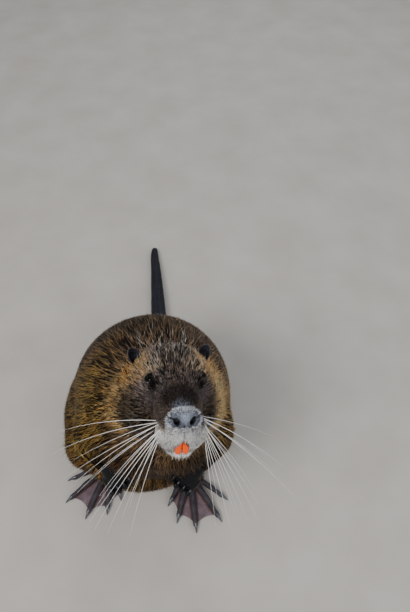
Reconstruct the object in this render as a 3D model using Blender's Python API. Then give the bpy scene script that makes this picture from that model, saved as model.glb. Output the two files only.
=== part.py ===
"""A coypu sitting up on its haunches, life size, as a still museum model.

Metres, +Z up. The animal faces -Y and its left side is +X. The origin is the middle of the flat under the
rump, on the floor. Surfaces are those of the coat, out to the lie of the hair.
"""

import math

import bmesh
import bpy
from mathutils import Matrix, Vector

# ---------------------------------------------------------------- driving sizes

GAP = 0.0004            # clear space between two neighbouring solids
FLOOR = 0.0

TRUNK_HALF_WIDTH = 0.131
TRUNK_HALF_DEPTH = 0.121
HEAD_LENGTH = 0.146     # nose to the back of the skull
HIND_FOOT_LENGTH = 0.1355
TAIL_LENGTH = 0.33
EYE_RADIUS = 0.0067
INCISOR_WIDTH = 0.0074
WHISKER_RADIUS = 0.0005
WEB_THICKNESS = 0.0026

BODY_VOXEL = 0.0032
BODY_TRIANGLES = 1380
FOOT_VOXEL = 0.0011
FOOT_TRIANGLES = 460
HAND_VOXEL = 0.0012
HAND_TRIANGLES = 270

NOSE_TIP = Vector((0.070, -0.199, 0.386))
HEAD_YAW = math.radians(16.0)      # the snout turns to the animal's left
HEAD_PITCH = math.radians(42.0)    # the snout is raised
HEAD_ROLL = math.radians(12.0)     # the crown leans to the animal's right

SIDES = {"left": 1.0, "right": -1.0}
HEEL = {"left": Vector((0.058, -0.099, 0.0)), "right": Vector((-0.056, -0.086, 0.0))}
FOOT_TURN = {"left": math.radians(8.0), "right": math.radians(21.0)}

COLOURS = {
    "coat": (0.16, 0.095, 0.04),
    "dark_coat": (0.07, 0.045, 0.03),
    "muzzle": (0.62, 0.60, 0.57),
    "nose": (0.09, 0.10, 0.12),
    "bare_skin": (0.045, 0.04, 0.045),
    "web": (0.13, 0.09, 0.10),
    "eye": (0.008, 0.007, 0.007),
    "enamel": (0.85, 0.20, 0.03),
    "whisker": (0.80, 0.79, 0.76),
}
ROUGHNESS = {"eye": 0.06, "enamel": 0.3, "bare_skin": 0.5, "web": 0.5, "nose": 0.45, "whisker": 0.4}


# ---------------------------------------------------------------- mesh tools

def clear_scene():
    for thing in list(bpy.data.objects):
        bpy.data.objects.remove(thing)


def material(name):
    """A Principled surface in one of the animal's colours."""
    found = bpy.data.materials.get(name)
    if found:
        return found
    made = bpy.data.materials.new(name)
    made.use_nodes = True
    shader = made.node_tree.nodes["Principled BSDF"]
    shader.inputs["Base Color"].default_value = (*COLOURS[name], 1.0)
    shader.inputs["Roughness"].default_value = ROUGHNESS.get(name, 0.8)
    shader.inputs["Metallic"].default_value = 0.0
    made.diffuse_color = (*COLOURS[name], 1.0)
    return made


def add_object(name, mesh):
    made = bpy.data.objects.new(name, mesh)
    bpy.context.scene.collection.objects.link(made)
    return made


def mesh_object(name, bm):
    mesh = bpy.data.meshes.new(name)
    bm.to_mesh(mesh)
    bm.free()
    return add_object(name, mesh)


def evaluated(thing):
    """The mesh of an object with its modifiers applied."""
    bpy.context.view_layer.update()
    graph = bpy.context.evaluated_depsgraph_get()
    return bpy.data.meshes.new_from_object(thing.evaluated_get(graph), depsgraph=graph)


def apply_modifiers(thing):
    old = thing.data
    thing.data = evaluated(thing)
    thing.modifiers.clear()
    bpy.data.meshes.remove(old)
    return thing


def drop(*things):
    for thing in things:
        bpy.data.objects.remove(thing)


def smooth_between(points, per_span):
    """Points on a Catmull-Rom curve through rows of numbers, per_span of them for each span."""
    rows = [Vector(p) for p in points]
    ends = [rows[0] * 2 - rows[1], *rows, rows[-1] * 2 - rows[-2]]
    found = []
    for i in range(len(rows) - 1):
        a, b, c, d = ends[i:i + 4]
        for k in range(per_span):
            t = k / per_span
            found.append(0.5 * (2 * b + (c - a) * t + (2 * a - 5 * b + 4 * c - d) * t * t
                                + (3 * b - a - 3 * c + d) * t ** 3))
    return [*found, rows[-1]]


def sweep(name, stations, side=(1, 0, 0), sides=24, per_span=4, grow=0.0, power=2.0, caps=(25, 50, 72)):
    """A closed round-ended tube through stations of (x, y, z, half width, half depth).

    Half width is measured along side, half depth across it. A power over 2 squares the section.
    """
    rows = smooth_between([Vector(s) for s in stations], per_span)
    centres = [Vector(r[:3]) for r in rows]
    radii = [(max(r[3], 1e-4) + grow, max(r[4], 1e-4) + grow) for r in rows]
    tangents = [(centres[min(i + 1, len(rows) - 1)] - centres[max(i - 1, 0)]).normalized()
                for i in range(len(rows))]
    rings = list(zip(centres, tangents, radii))

    def cap(ring, direction):
        centre, tangent, (wide, deep) = ring
        reach = min(wide, deep)
        return [(centre + tangent * direction * reach * math.sin(a), tangent,
                 (wide * math.cos(a), deep * math.cos(a))) for a in map(math.radians, caps)], centre + tangent * direction * reach

    before, first_pole = cap(rings[0], -1.0)
    after, last_pole = cap(rings[-1], 1.0)
    rings = [*reversed(before), *rings, *after]

    bm = bmesh.new()
    loops = []
    for centre, tangent, (wide, deep) in rings:
        across = Vector(side) - tangent * tangent.dot(Vector(side))
        across.normalize()
        other = tangent.cross(across)
        loop = []
        for k in range(sides):
            angle = 2 * math.pi * k / sides
            c, s = math.cos(angle), math.sin(angle)
            stretch = (abs(c) ** power + abs(s) ** power) ** (-1 / power)
            loop.append(bm.verts.new(centre + across * wide * c * stretch + other * deep * s * stretch))
        loops.append(loop)
    poles = (bm.verts.new(first_pole), bm.verts.new(last_pole))
    for low, high in zip(loops, loops[1:]):
        for k in range(sides):
            n = (k + 1) % sides
            bm.faces.new((low[k], low[n], high[n], high[k]))
    for k in range(sides):
        n = (k + 1) % sides
        bm.faces.new((poles[0], loops[0][n], loops[0][k]))
        bm.faces.new((poles[1], loops[-1][k], loops[-1][n]))
    bmesh.ops.recalc_face_normals(bm, faces=bm.faces)
    return mesh_object(name, bm)


def ball(name, centre, radii, turn=None, grow=0.0, rings=16):
    """An ellipsoid with half sizes radii, turned by a matrix or left square to the axes."""
    bm = bmesh.new()
    bmesh.ops.create_uvsphere(bm, u_segments=2 * rings, v_segments=rings, radius=1.0)
    stretch = Matrix.Diagonal((*(r + grow for r in radii), 1.0))
    place = Matrix.Translation(centre) @ (turn.to_4x4() if turn else Matrix.Identity(4)) @ stretch
    bmesh.ops.transform(bm, matrix=place, verts=bm.verts)
    return mesh_object(name, bm)


def block(name, low, high):
    """A box between two corners."""
    bm = bmesh.new()
    bmesh.ops.create_cube(bm, size=1.0)
    low, high = Vector(low), Vector(high)
    size = high - low
    place = Matrix.Translation((low + high) / 2) @ Matrix.Diagonal((*size, 1.0))
    bmesh.ops.transform(bm, matrix=place, verts=bm.verts)
    return mesh_object(name, bm)


def disc(name, centre, normal, radius, thickness, sides=40):
    """A flat round plate, square to normal."""
    bm = bmesh.new()
    bmesh.ops.create_cone(bm, cap_ends=True, segments=sides, radius1=radius, radius2=radius, depth=thickness)
    turn = Vector(normal).to_track_quat("Z", "Y").to_matrix().to_4x4()
    bmesh.ops.transform(bm, matrix=Matrix.Translation(centre) @ turn, verts=bm.verts)
    return mesh_object(name, bm)


def boolean(thing, other, operation, solver="EXACT"):
    """Applies one Boolean and leaves the other object as it is."""
    cut = thing.modifiers.new("cut", "BOOLEAN")
    cut.operation = operation
    cut.solver = solver
    cut.object = other
    return apply_modifiers(thing)


def copy_of(thing, name):
    return add_object(name, thing.data.copy())


def volume_of(faces):
    """Signed volume of a closed set of faces."""
    total = 0.0
    for face in faces:
        first = face.verts[0].co
        for a, b in zip(face.verts[1:], face.verts[2:]):
            total += first.dot(a.co.cross(b.co)) / 6
    return total


def keep_largest(thing):
    """Leaves only the largest connected body of a mesh."""
    bm = bmesh.new()
    bm.from_mesh(thing.data)
    bm.faces.ensure_lookup_table()
    seen, bodies = set(), []
    for start in bm.faces:
        if start in seen:
            continue
        seen.add(start)
        todo, body = [start], []
        while todo:
            face = todo.pop()
            body.append(face)
            for edge in face.edges:
                for near in edge.link_faces:
                    if near not in seen:
                        seen.add(near)
                        todo.append(near)
        bodies.append(body)
    bodies.sort(key=lambda body: -abs(volume_of(body)))
    loose = [face for body in bodies[1:] for face in body]
    bmesh.ops.delete(bm, geom=loose, context="FACES")
    bm.to_mesh(thing.data)
    bm.free()
    return thing


def cleaned(thing, flatness=0.0):
    """Joins faces that lie within flatness degrees of one plane, then turns every face into triangles."""
    bm = bmesh.new()
    bm.from_mesh(thing.data)
    if flatness:
        bmesh.ops.dissolve_limit(bm, angle_limit=math.radians(flatness), verts=bm.verts, edges=bm.edges)
    bmesh.ops.triangulate(bm, faces=bm.faces)
    bm.to_mesh(thing.data)
    bm.free()
    return thing


def melted(name, shapes, voxel, smoothing, triangles):
    """Overlapping shapes fused into one smooth skin of about that many triangles."""
    bm = bmesh.new()
    for shape in shapes:
        bm.from_mesh(shape.data)
    drop(*shapes)
    whole = mesh_object(name, bm)
    fuse = whole.modifiers.new("fuse", "REMESH")
    fuse.mode = "VOXEL"
    fuse.voxel_size = voxel
    soften = whole.modifiers.new("soften", "SMOOTH")
    soften.factor = 0.5
    soften.iterations = smoothing
    apply_modifiers(whole)
    thin = whole.modifiers.new("thin", "DECIMATE")
    thin.ratio = min(1.0, triangles / sum(len(p.vertices) - 2 for p in whole.data.polygons))
    return cleaned(apply_modifiers(whole))


def above_floor(thing):
    """Cuts away what lies under the floor, which leaves flats to rest on."""
    low = block("under_floor", (-1, -1, -0.2), (1, 1, FLOOR))
    boolean(thing, low, "DIFFERENCE")
    drop(low)
    return thing


def split_off(whole, name, region, solver="EXACT"):
    """Takes the part of whole inside region out as its own solid, with a gap round it.

    region is a function of how far to grow it, which gives a closed shape.
    """
    inside = region(0.0)
    part = boolean(copy_of(whole, name), inside, "INTERSECT", solver)
    outside = region(GAP)
    boolean(whole, outside, "DIFFERENCE", solver)
    drop(inside, outside)
    keep_largest(whole)
    return keep_largest(part)


def finish_node(thing, colour, smooth=True):
    """Names the surface of a finished solid and shades it."""
    cleaned(thing, 1.5)
    thing.data.materials.clear()
    thing.data.materials.append(material(colour))
    if smooth:
        thing.data.shade_smooth()
        thing.data.set_sharp_from_angle(angle=math.radians(50))
    thing.data.name = thing.name
    return thing


# ---------------------------------------------------------------- head frame

HEAD_TURN = (Matrix.Rotation(HEAD_YAW, 3, "Z") @ Matrix.Rotation(-HEAD_PITCH, 3, "X")
             @ Matrix.Rotation(HEAD_ROLL, 3, "Y"))


def at_head(x, back, up):
    """A point given from the tip of the nose: across, back along the skull and up from the nose line."""
    return NOSE_TIP + HEAD_TURN @ Vector((x, back, up))


def head_sweep(name, stations, **options):
    """A sweep whose stations are (x, back, up, half width, half depth) in the head's frame."""
    placed = [(*at_head(*s[:3]), *s[3:]) for s in stations]
    return sweep(name, placed, side=HEAD_TURN @ Vector((1, 0, 0)), **options)


# ---------------------------------------------------------------- body

def trunk_shapes():
    """Pear-shaped trunk that leans forward, with the low belly and the chest."""
    w, d = TRUNK_HALF_WIDTH, TRUNK_HALF_DEPTH
    spine = [
        (0.000, 0.052, 0.040, 0.46 * w, 0.32 * d),
        (0.000, 0.026, 0.074, 0.80 * w, 0.64 * d),
        (0.003, -0.022, 0.114, 0.93 * w, 0.92 * d),
        (0.011, -0.059, 0.158, 0.92 * w, 1.00 * d),
        (0.023, -0.088, 0.206, 0.83 * w, 0.95 * d),
        (0.037, -0.108, 0.250, 0.70 * w, 0.79 * d),
        (0.045, -0.121, 0.286, 0.57 * w, 0.62 * d),
        (0.049, -0.126, 0.312, 0.44 * w, 0.46 * d),
    ]
    return [
        sweep("spine", spine, sides=40),
        ball("belly", (-0.010, -0.100, 0.090), (0.110, 0.092, 0.084)),
        ball("chest", (0.026, -0.118, 0.196), (0.078, 0.050, 0.070)),
        ball("rump_pad", (0.000, 0.012, 0.050), (0.078, 0.056, 0.054)),
        ball("right_flank", (-0.070, -0.058, 0.132), (0.056, 0.058, 0.066)),
    ]


def leg_shapes(side):
    """Haunch, folded knee and the furred shank above the foot."""
    s = SIDES[side]
    heel, turn = HEEL[side], FOOT_TURN[side]
    ahead = Vector((s * math.sin(turn), -math.cos(turn), 0))
    middle = {"left": (0.065, -0.030, 0.088), "right": (-0.086, -0.052, 0.082)}[side]
    forward, out = {"left": (0.008, 0.005), "right": (0.028, 0.028)}[side]
    knee = heel + ahead * forward + Vector((s * out, 0, 0.076))
    ankle = heel + ahead * 0.014 + Vector((0, 0, 0.030))
    haunch = [
        (s * 0.056, 0.004, 0.074, 0.054, 0.062),
        (*middle, 0.058, 0.073),
        (*knee, 0.044, 0.046),
    ]
    shank = [(*knee, 0.044, 0.046), (*ankle, 0.030, 0.036), (*(ankle + ahead * 0.030), 0.024, 0.022)]
    return [
        sweep(f"haunch_{side}", haunch),
        sweep(f"shank_{side}", shank),
    ]


SHOULDER = {"left": Vector((0.090, -0.118, 0.244)), "right": Vector((-0.038, -0.116, 0.238))}
ELBOW = {"left": Vector((0.106, -0.138, 0.184)), "right": Vector((-0.072, -0.138, 0.178))}
WRIST = {"left": Vector((0.078, -0.179, 0.180)), "right": Vector((-0.041, -0.177, 0.177))}
KNUCKLES = {"left": Vector((0.063, -0.192, 0.165)), "right": Vector((-0.029, -0.191, 0.161))}


def arm_shapes(side):
    """Upper arm and the furred forearm, folded against the chest."""
    shoulder, elbow, wrist = SHOULDER[side], ELBOW[side], WRIST[side]
    middle = elbow.lerp(wrist, 0.80)
    upper = [(*shoulder, 0.034, 0.038), (*elbow, 0.026, 0.030)]
    fore = [(*elbow, 0.026, 0.030), (*middle, 0.0165, 0.0172)]
    return [sweep(f"upper_arm_{side}", upper), sweep(f"forearm_{side}", fore)]


def head_shapes():
    """Long deep skull with a blunt muzzle, full cheeks and a short throat."""
    k = HEAD_LENGTH / 0.146
    skull = [(0, 0.016 * k, -0.0110, 0.0215, 0.0240), (0, 0.034 * k, -0.0092, 0.0255, 0.0292),
             (0, 0.056 * k, -0.0050, 0.0305, 0.0350), (0, 0.082 * k, -0.0060, 0.0390, 0.0410),
             (0, 0.108 * k, -0.0090, 0.0450, 0.0440), (0, 0.130 * k, -0.0140, 0.0440, 0.0430)]
    jaw = [(0, 0.0220 * k, -0.037, 0.0160, 0.0115), (0, 0.045 * k, -0.041, 0.0210, 0.0165),
           (0, 0.080 * k, -0.042, 0.0320, 0.0240)]
    shapes = [
        head_sweep("skull", skull, sides=32, power=2.3),
        head_sweep("jaw", jaw, sides=24),
        ball("nose_front", at_head(0, 0.0090, 0.0005), (0.0165, 0.0090, 0.0118), HEAD_TURN),
        ball("crown", at_head(0, 0.094, 0.014), (0.033, 0.044, 0.024), HEAD_TURN),
    ]
    for side, s in SIDES.items():
        shapes += [
            ball(f"lip_{side}", at_head(s * 0.0125, 0.0185, -0.0195), (0.0145, 0.0155, 0.0165), HEAD_TURN),
            ball(f"brow_{side}", at_head(s * 0.0190, 0.064, 0.0195), (0.0115, 0.0200, 0.0115), HEAD_TURN),
            ball(f"cheek_{side}", at_head(s * 0.0300, 0.088, -0.024), (0.0240, 0.0300, 0.0290), HEAD_TURN),
        ]
    nape = [(*at_head(0, 0.128, -0.018), 0.045, 0.043), (*at_head(0, 0.162, -0.044), 0.060, 0.056)]
    throat = [(*at_head(0, 0.092, -0.042), 0.040, 0.032), (*at_head(0, 0.130, -0.082), 0.058, 0.044)]
    return [*shapes, sweep("nape", nape, sides=32), sweep("throat", throat, sides=32)]


# ---------------------------------------------------------------- named regions of the body

EYE_PLACE = (0.0263, 0.0597, 0.0241)
EAR_PLACE = (0.0388, 0.1145, 0.0275)
HEAD_PLANE = at_head(0, 0.134, -0.02)
NECK_PLANE = Vector((0.036, -0.112, 0.276))
HEAD_AXIS = HEAD_TURN @ Vector((0, 1, 0))


def haunch_region(side):
    s = SIDES[side]
    centre = Vector((s * 0.098, -0.078, 0.062))
    return lambda grow: ball("region", centre, (0.060, 0.098, 0.076), grow=grow, rings=8)


def arm_region(side):
    """Round the shoulder, the elbow and the furred end of the forearm."""
    s = SIDES[side]
    middle = (SHOULDER[side] + ELBOW[side] * 2 + WRIST[side]) / 4 + Vector((s * 0.012, 0, 0))
    return lambda grow: ball("region", middle, (0.041, 0.062, 0.060), grow=grow, rings=7)


def jaw_region(grow):
    """Under the line of the mouth, from the chin back to the corner of the jaw."""
    stations = [(0, 0.004, -0.052, 0.034, 0.0195), (0, 0.045, -0.056, 0.038, 0.0215)]
    return head_sweep("region", stations, sides=14, per_span=1, power=4.0, grow=grow, caps=(40, 70))


def nose_region(grow):
    return ball("region", at_head(0, 0.001, 0.0030), (0.0152, 0.0098, 0.0100), HEAD_TURN, grow=grow, rings=7)


def barrel(centre, direction, radius, length):
    """A region in front of a plane: a short cylinder that starts at centre and runs along direction."""
    way = Vector(direction).normalized()

    def shape(grow):
        middle = Vector(centre) + way * (length / 2)
        return disc("region", middle, way, radius + grow, length + 2 * grow, 32)

    return shape


# ---------------------------------------------------------------- hind feet

# Each toe: how far ahead and outward its claw tip lies from the heel, and whether a web joins it to the next.
TOES = (
    ("first", 0.089, -0.042, True),
    ("second", 0.117, -0.030, True),
    ("third", HIND_FOOT_LENGTH, 0.000, True),
    ("fourth", 0.125, 0.043, False),
    ("fifth", 0.093, 0.058, False),
)
TOE_ROOT_AHEAD, TOE_ROOT_STEP = 0.064, 0.0085
CLAW_LENGTH = 0.012


def foot_point(side, ahead, outward, up):
    """A point of a hind foot from its heel: ahead along the sole, outward across it, and up."""
    s, turn = SIDES[side], FOOT_TURN[side]
    forward = Vector((s * math.sin(turn), -math.cos(turn), 0))
    out = Vector((s * math.cos(turn), math.sin(turn), 0))
    return HEEL[side] + forward * ahead + out * outward + Vector((0, 0, up))


def toe_line(side, index):
    """Root, knuckle, end of the flesh and claw tip of one toe."""
    _, ahead, outward, _ = TOES[index]
    root = foot_point(side, TOE_ROOT_AHEAD - 0.004 * abs(index - 2), TOE_ROOT_STEP * (index - 2), 0.009)
    tip = foot_point(side, ahead, outward, 0.0022)
    flat = Vector((tip.x - root.x, tip.y - root.y, 0))
    along = flat.normalized()
    end = tip - along * CLAW_LENGTH
    knuckle = root.lerp(end, 0.52)
    return root, Vector((knuckle.x, knuckle.y, 0.0098)), Vector((end.x, end.y, 0.0050)), tip


def foot_bed(side, grow=0.0):
    """The room that a hind foot takes under the fur of the leg and the belly."""
    stations = [
        (*foot_point(side, 0.010, 0.000, 0.0105), 0.0130, 0.0150),
        (*foot_point(side, 0.040, 0.000, 0.0095), 0.0185, 0.0140),
        (*foot_point(side, 0.066, 0.000, 0.0075), 0.0310, 0.0130),
        (*foot_point(side, 0.092, 0.003, 0.0055), 0.0500, 0.0115),
    ]
    turn = FOOT_TURN[side] * SIDES[side]
    return sweep("foot_bed", stations, side=(math.cos(turn), math.sin(turn), 0), sides=12, per_span=1,
                 grow=grow, caps=(40, 65))


def metatarsus(side, grow=0.0):
    """The sole from the heel to the roots of the toes."""
    stations = [
        (*foot_point(side, 0.010, 0.000, 0.0110), 0.0100, 0.0115),
        (*foot_point(side, 0.035, 0.000, 0.0105), 0.0135, 0.0110),
        (*foot_point(side, 0.062, 0.000, 0.0085), 0.0200, 0.0090),
    ]
    turn = FOOT_TURN[side] * SIDES[side]
    return sweep("metatarsus", stations, side=(math.cos(turn), math.sin(turn), 0), sides=20, grow=grow)


def web_sheet(side, index):
    """The skin between two neighbouring toes, scalloped at its free edge."""
    lines = [toe_line(side, index), toe_line(side, index + 1)]
    columns, rows = 6, 7
    reach = 0.98
    bm = bmesh.new()
    layers = []
    for up in (-WEB_THICKNESS / 2, WEB_THICKNESS / 2):
        grid = []
        for i in range(rows):
            row = []
            for j in range(columns):
                across = j / (columns - 1)
                scallop = 1 - 0.08 * math.sin(math.pi * across)
                t = reach * scallop * i / (rows - 1)
                a = lines[0][0].lerp(lines[0][2], t)
                b = lines[1][0].lerp(lines[1][2], t)
                p = a.lerp(b, across)
                height = 0.0052 - 0.0016 * t
                row.append(bm.verts.new((p.x, p.y, height + up)))
            grid.append(row)
        layers.append(grid)
    low, high = layers
    for i in range(rows - 1):
        for j in range(columns - 1):
            bm.faces.new((low[i][j], low[i + 1][j], low[i + 1][j + 1], low[i][j + 1]))
            bm.faces.new((high[i][j], high[i][j + 1], high[i + 1][j + 1], high[i + 1][j]))
    rim = ([(0, j) for j in range(columns)] + [(i, columns - 1) for i in range(1, rows)]
           + [(rows - 1, j) for j in range(columns - 2, -1, -1)] + [(i, 0) for i in range(rows - 2, 0, -1)])
    for (i, j), (k, m) in zip(rim, [*rim[1:], rim[0]]):
        bm.faces.new((low[i][j], low[k][m], high[k][m], high[i][j]))
    bmesh.ops.recalc_face_normals(bm, faces=bm.faces)
    return mesh_object("web", bm)


def hind_foot(side):
    """Foot flat on the floor, with five toes, three webs and the claws."""
    shapes = [metatarsus(side)]
    for index, (_, _, _, webbed) in enumerate(TOES):
        root, knuckle, end, tip = toe_line(side, index)
        big = 1.0 if index in (1, 2, 3) else 0.88
        heel_side = root.lerp(knuckle, -0.35)
        toe = [(*heel_side, 0.0062 * big, 0.0065 * big), (*knuckle, 0.0050 * big, 0.0056 * big),
               (*end, 0.0040 * big, 0.0046 * big)]
        claw = [(*end.lerp(knuckle, 0.15), 0.0030, 0.0036), (*end.lerp(tip, 0.5), 0.0021, 0.0027),
                (*tip, 0.0008, 0.0010)]
        shapes += [sweep("toe", toe, sides=16), sweep("claw", claw, sides=12)]
        if webbed:
            shapes.append(web_sheet(side, index))
    foot = melted(f"hind_foot_{side}", shapes, FOOT_VOXEL, 3, FOOT_TRIANGLES)
    return keep_largest(above_floor(foot))


# ---------------------------------------------------------------- forepaws

def paw_frame(side):
    """Forward, outward and upward directions of the back of a hand."""
    forward = (KNUCKLES[side] - WRIST[side]).normalized()
    out = Vector((0.82 * SIDES[side], -0.50, -0.20))
    out = (out - forward * out.dot(forward)).normalized()
    up = forward.cross(out) * -SIDES[side]
    return forward, out, up


def wrist_shape(side, grow=0.0):
    """The bare end of the forearm, which runs back under the fur."""
    middle = ELBOW[side].lerp(WRIST[side], 0.30)
    stations = [(*middle, 0.0125, 0.0125), (*WRIST[side], 0.0136, 0.0128), (*KNUCKLES[side], 0.0186, 0.0134)]
    return sweep("wrist", stations, side=paw_frame(side)[1], sides=18, grow=grow)


def thumb_root(side):
    forward, out, up = paw_frame(side)
    return WRIST[side].lerp(KNUCKLES[side], 0.55) - out * 0.0105 - up * 0.004


def hand_bed(side, grow=0.0):
    """The room that a hand takes against the fur of the chest."""
    forward, out, up = paw_frame(side)
    wrist, knuckles = WRIST[side], KNUCKLES[side]
    middle = ELBOW[side].lerp(wrist, 0.30)
    tips = knuckles + forward * 0.011 - up * 0.010
    stations = [(*middle, 0.0146, 0.0146), (*wrist, 0.0150, 0.0150), (*knuckles, 0.0232, 0.0190),
                (*tips, 0.0235, 0.0170)]
    return sweep("hand_bed", stations, side=out, sides=12, per_span=1, grow=grow, caps=(40, 65))


def forepaw(side):
    """Hand that hangs from the wrist with its four fingers and thumb curled."""
    forward, out, up = paw_frame(side)
    knuckles = KNUCKLES[side]
    shapes = [wrist_shape(side)]
    down = -up
    for index in range(4):
        across = (index - 1.5) * 0.0094
        longer = 1.0 if index in (1, 2) else 0.88
        root = knuckles + out * across + forward * 0.0005
        bend = root + (forward * 0.0086 + down * 0.0034) * longer
        end = bend + (down * 0.0110 - forward * 0.0016) * longer
        tip = end + (down * 0.0020 - forward * 0.0074)
        finger = [(*root, 0.0058, 0.0074), (*bend, 0.0055, 0.0060), (*end, 0.0044, 0.0044)]
        claw = [(*end, 0.0024, 0.0024), (*end.lerp(tip, 0.5), 0.0018, 0.0020), (*tip, 0.0007, 0.0008)]
        shapes += [sweep("finger", finger, sides=12), sweep("claw", claw, sides=10)]
    root = thumb_root(side)
    thumb = [(*root, 0.0042, 0.0042), (*(root - out * 0.003 + down * 0.008), 0.0030, 0.0030)]
    shapes.append(sweep("thumb", thumb, sides=12))
    return melted(f"forepaw_{side}", shapes, HAND_VOXEL, 3, HAND_TRIANGLES)


# ---------------------------------------------------------------- tail

def tail_shape(grow=0.0):
    """Round tapering tail, laid straight back on the floor with a slight bend."""
    sink = 0.0005
    stations = []
    for along, bend, radius in ((0.00, 0.000, 0.0195), (0.12, 0.000, 0.0180), (0.30, -0.002, 0.0165),
                                (0.50, -0.008, 0.0145), (0.75, -0.017, 0.0112), (0.93, -0.0245, 0.0084),
                                (1.00, -0.0262, 0.0062)):
        lift = 0.026 * max(0.0, 1 - along / 0.2) ** 2
        stations.append((bend, 0.036 + along * TAIL_LENGTH, radius - sink + lift, radius, radius))
    return sweep("tail", stations, sides=14, per_span=2, grow=grow)


# ---------------------------------------------------------------- ears, eyes, teeth, whiskers

def ear_frame(side):
    """Across, back and up directions of an ear: it stands out from the head and opens forward."""
    s = SIDES[side]
    turn = HEAD_TURN @ Matrix.Rotation(math.radians(30.0 * s), 3, "Y") @ Matrix.Rotation(
        math.radians(-24.0 * s), 3, "Z")
    return turn


def ear_bowl(side, name, grow=0.0, hollow=False):
    """One of the two nested shells that make the ear: the outer form or the bowl inside it."""
    s = SIDES[side]
    turn = ear_frame(side)
    base = at_head(s * EAR_PLACE[0], EAR_PLACE[1], EAR_PLACE[2])
    if hollow:
        centre = base + turn @ Vector((0, -0.0052, 0.0072))
        return ball(name, centre, (0.0070, 0.0062, 0.0110), turn, grow, rings=6)
    centre = base + turn @ Vector((0, 0, 0.0055))
    return ball(name, centre, (0.0098, 0.0062, 0.0150), turn, grow, rings=6)


def ear(side):
    made = ear_bowl(side, f"ear_{side}")
    bowl = ear_bowl(side, "bowl", hollow=True)
    boolean(made, bowl, "DIFFERENCE")
    drop(bowl)
    return keep_largest(made)


def eye(side, grow=0.0):
    s = SIDES[side]
    return ball(f"eye_{side}", at_head(s * EYE_PLACE[0], EYE_PLACE[1], EYE_PLACE[2]),
                (EYE_RADIUS,) * 3, HEAD_TURN, grow, rings=7)


def incisor_pair(grow=0.0):
    """Two long front teeth side by side, curved back into the mouth, as one solid."""
    line = ((0.0104, -0.0155), (0.0078, -0.0250), (0.0088, -0.0375))
    wide, thick = INCISOR_WIDTH, 0.0036
    stations = [[(s * wide * 0.49 - 0.001, back, up, wide / 2, thick / 2) for back, up in line] for s in (1, -1)]
    teeth = [head_sweep("tooth", row, sides=8, per_span=1, power=3.2, grow=grow,
                        caps=(45,)) for row in stations]
    boolean(teeth[0], teeth[1], "UNION")
    drop(teeth[1])
    return teeth[0]


def mouth_notch():
    """The cleft in the upper lip, in front of the lower one, where the incisors show."""
    return ball("notch", at_head(-0.001, 0.0025, -0.0320), (0.0100, 0.0115, 0.0145), HEAD_TURN, rings=6)


WHISKER_ROWS = 3
WHISKERS_IN_ROW = 3


def whisker_line(side, row, column):
    """Root, middle and tip of one long whisker, which fans out and droops."""
    s = SIDES[side]
    root = at_head(s * (0.0285 + 0.0006 * column), 0.016 + 0.0075 * column, -0.011 - 0.0060 * row)
    spread = math.radians(62 - 15 * row + 12 * column)
    length = 0.124 - 0.010 * row - 0.006 * abs(column - 1)
    out = HEAD_TURN @ Vector((s * math.sin(spread), -0.20 + 0.22 * column, -math.cos(spread)))
    out.normalize()
    tip = root + out * length + Vector((0, 0, -0.030))
    middle = root.lerp(tip, 0.5) + Vector((0, 0, 0.009))
    return root, middle, tip


def whisker_pad(side, grow=0.0):
    """The pad of skin at the side of the muzzle that holds the whiskers."""
    centre = at_head(SIDES[side] * 0.0235, 0.0225, -0.0170)
    return ball(f"whiskers_{side}", centre, (0.0062, 0.0135, 0.0110), HEAD_TURN, grow, rings=5)


def whisker_group(side):
    """The long whiskers of one side on the pad that holds them, as one solid."""
    pad = whisker_pad(side)
    inner = at_head(SIDES[side] * 0.0235, 0.0225, -0.0170)
    for row in range(WHISKER_ROWS):
        for column in range(WHISKERS_IN_ROW):
            root, middle, tip = whisker_line(side, row, column)
            start = root.lerp(inner, 0.7)
            stations = [(*start, WHISKER_RADIUS * 1.5, WHISKER_RADIUS * 1.5),
                        (*root, WHISKER_RADIUS * 1.4, WHISKER_RADIUS * 1.4),
                        (*middle, WHISKER_RADIUS, WHISKER_RADIUS),
                        (*tip, WHISKER_RADIUS * 0.6, WHISKER_RADIUS * 0.6)]
            hair = sweep("hair", stations, side=HEAD_TURN @ Vector((0, 1, 0)), sides=3, per_span=1, caps=(45,))
            boolean(pad, hair, "UNION", "MANIFOLD")
            drop(hair)
    return pad


# ---------------------------------------------------------------- assembly

def carve(thing, *cutters, solver="EXACT"):
    """Cuts each shape out of thing and removes the shapes."""
    for cutter in cutters:
        boolean(thing, cutter, "DIFFERENCE", solver)
        drop(cutter)
    return keep_largest(thing)


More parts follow.
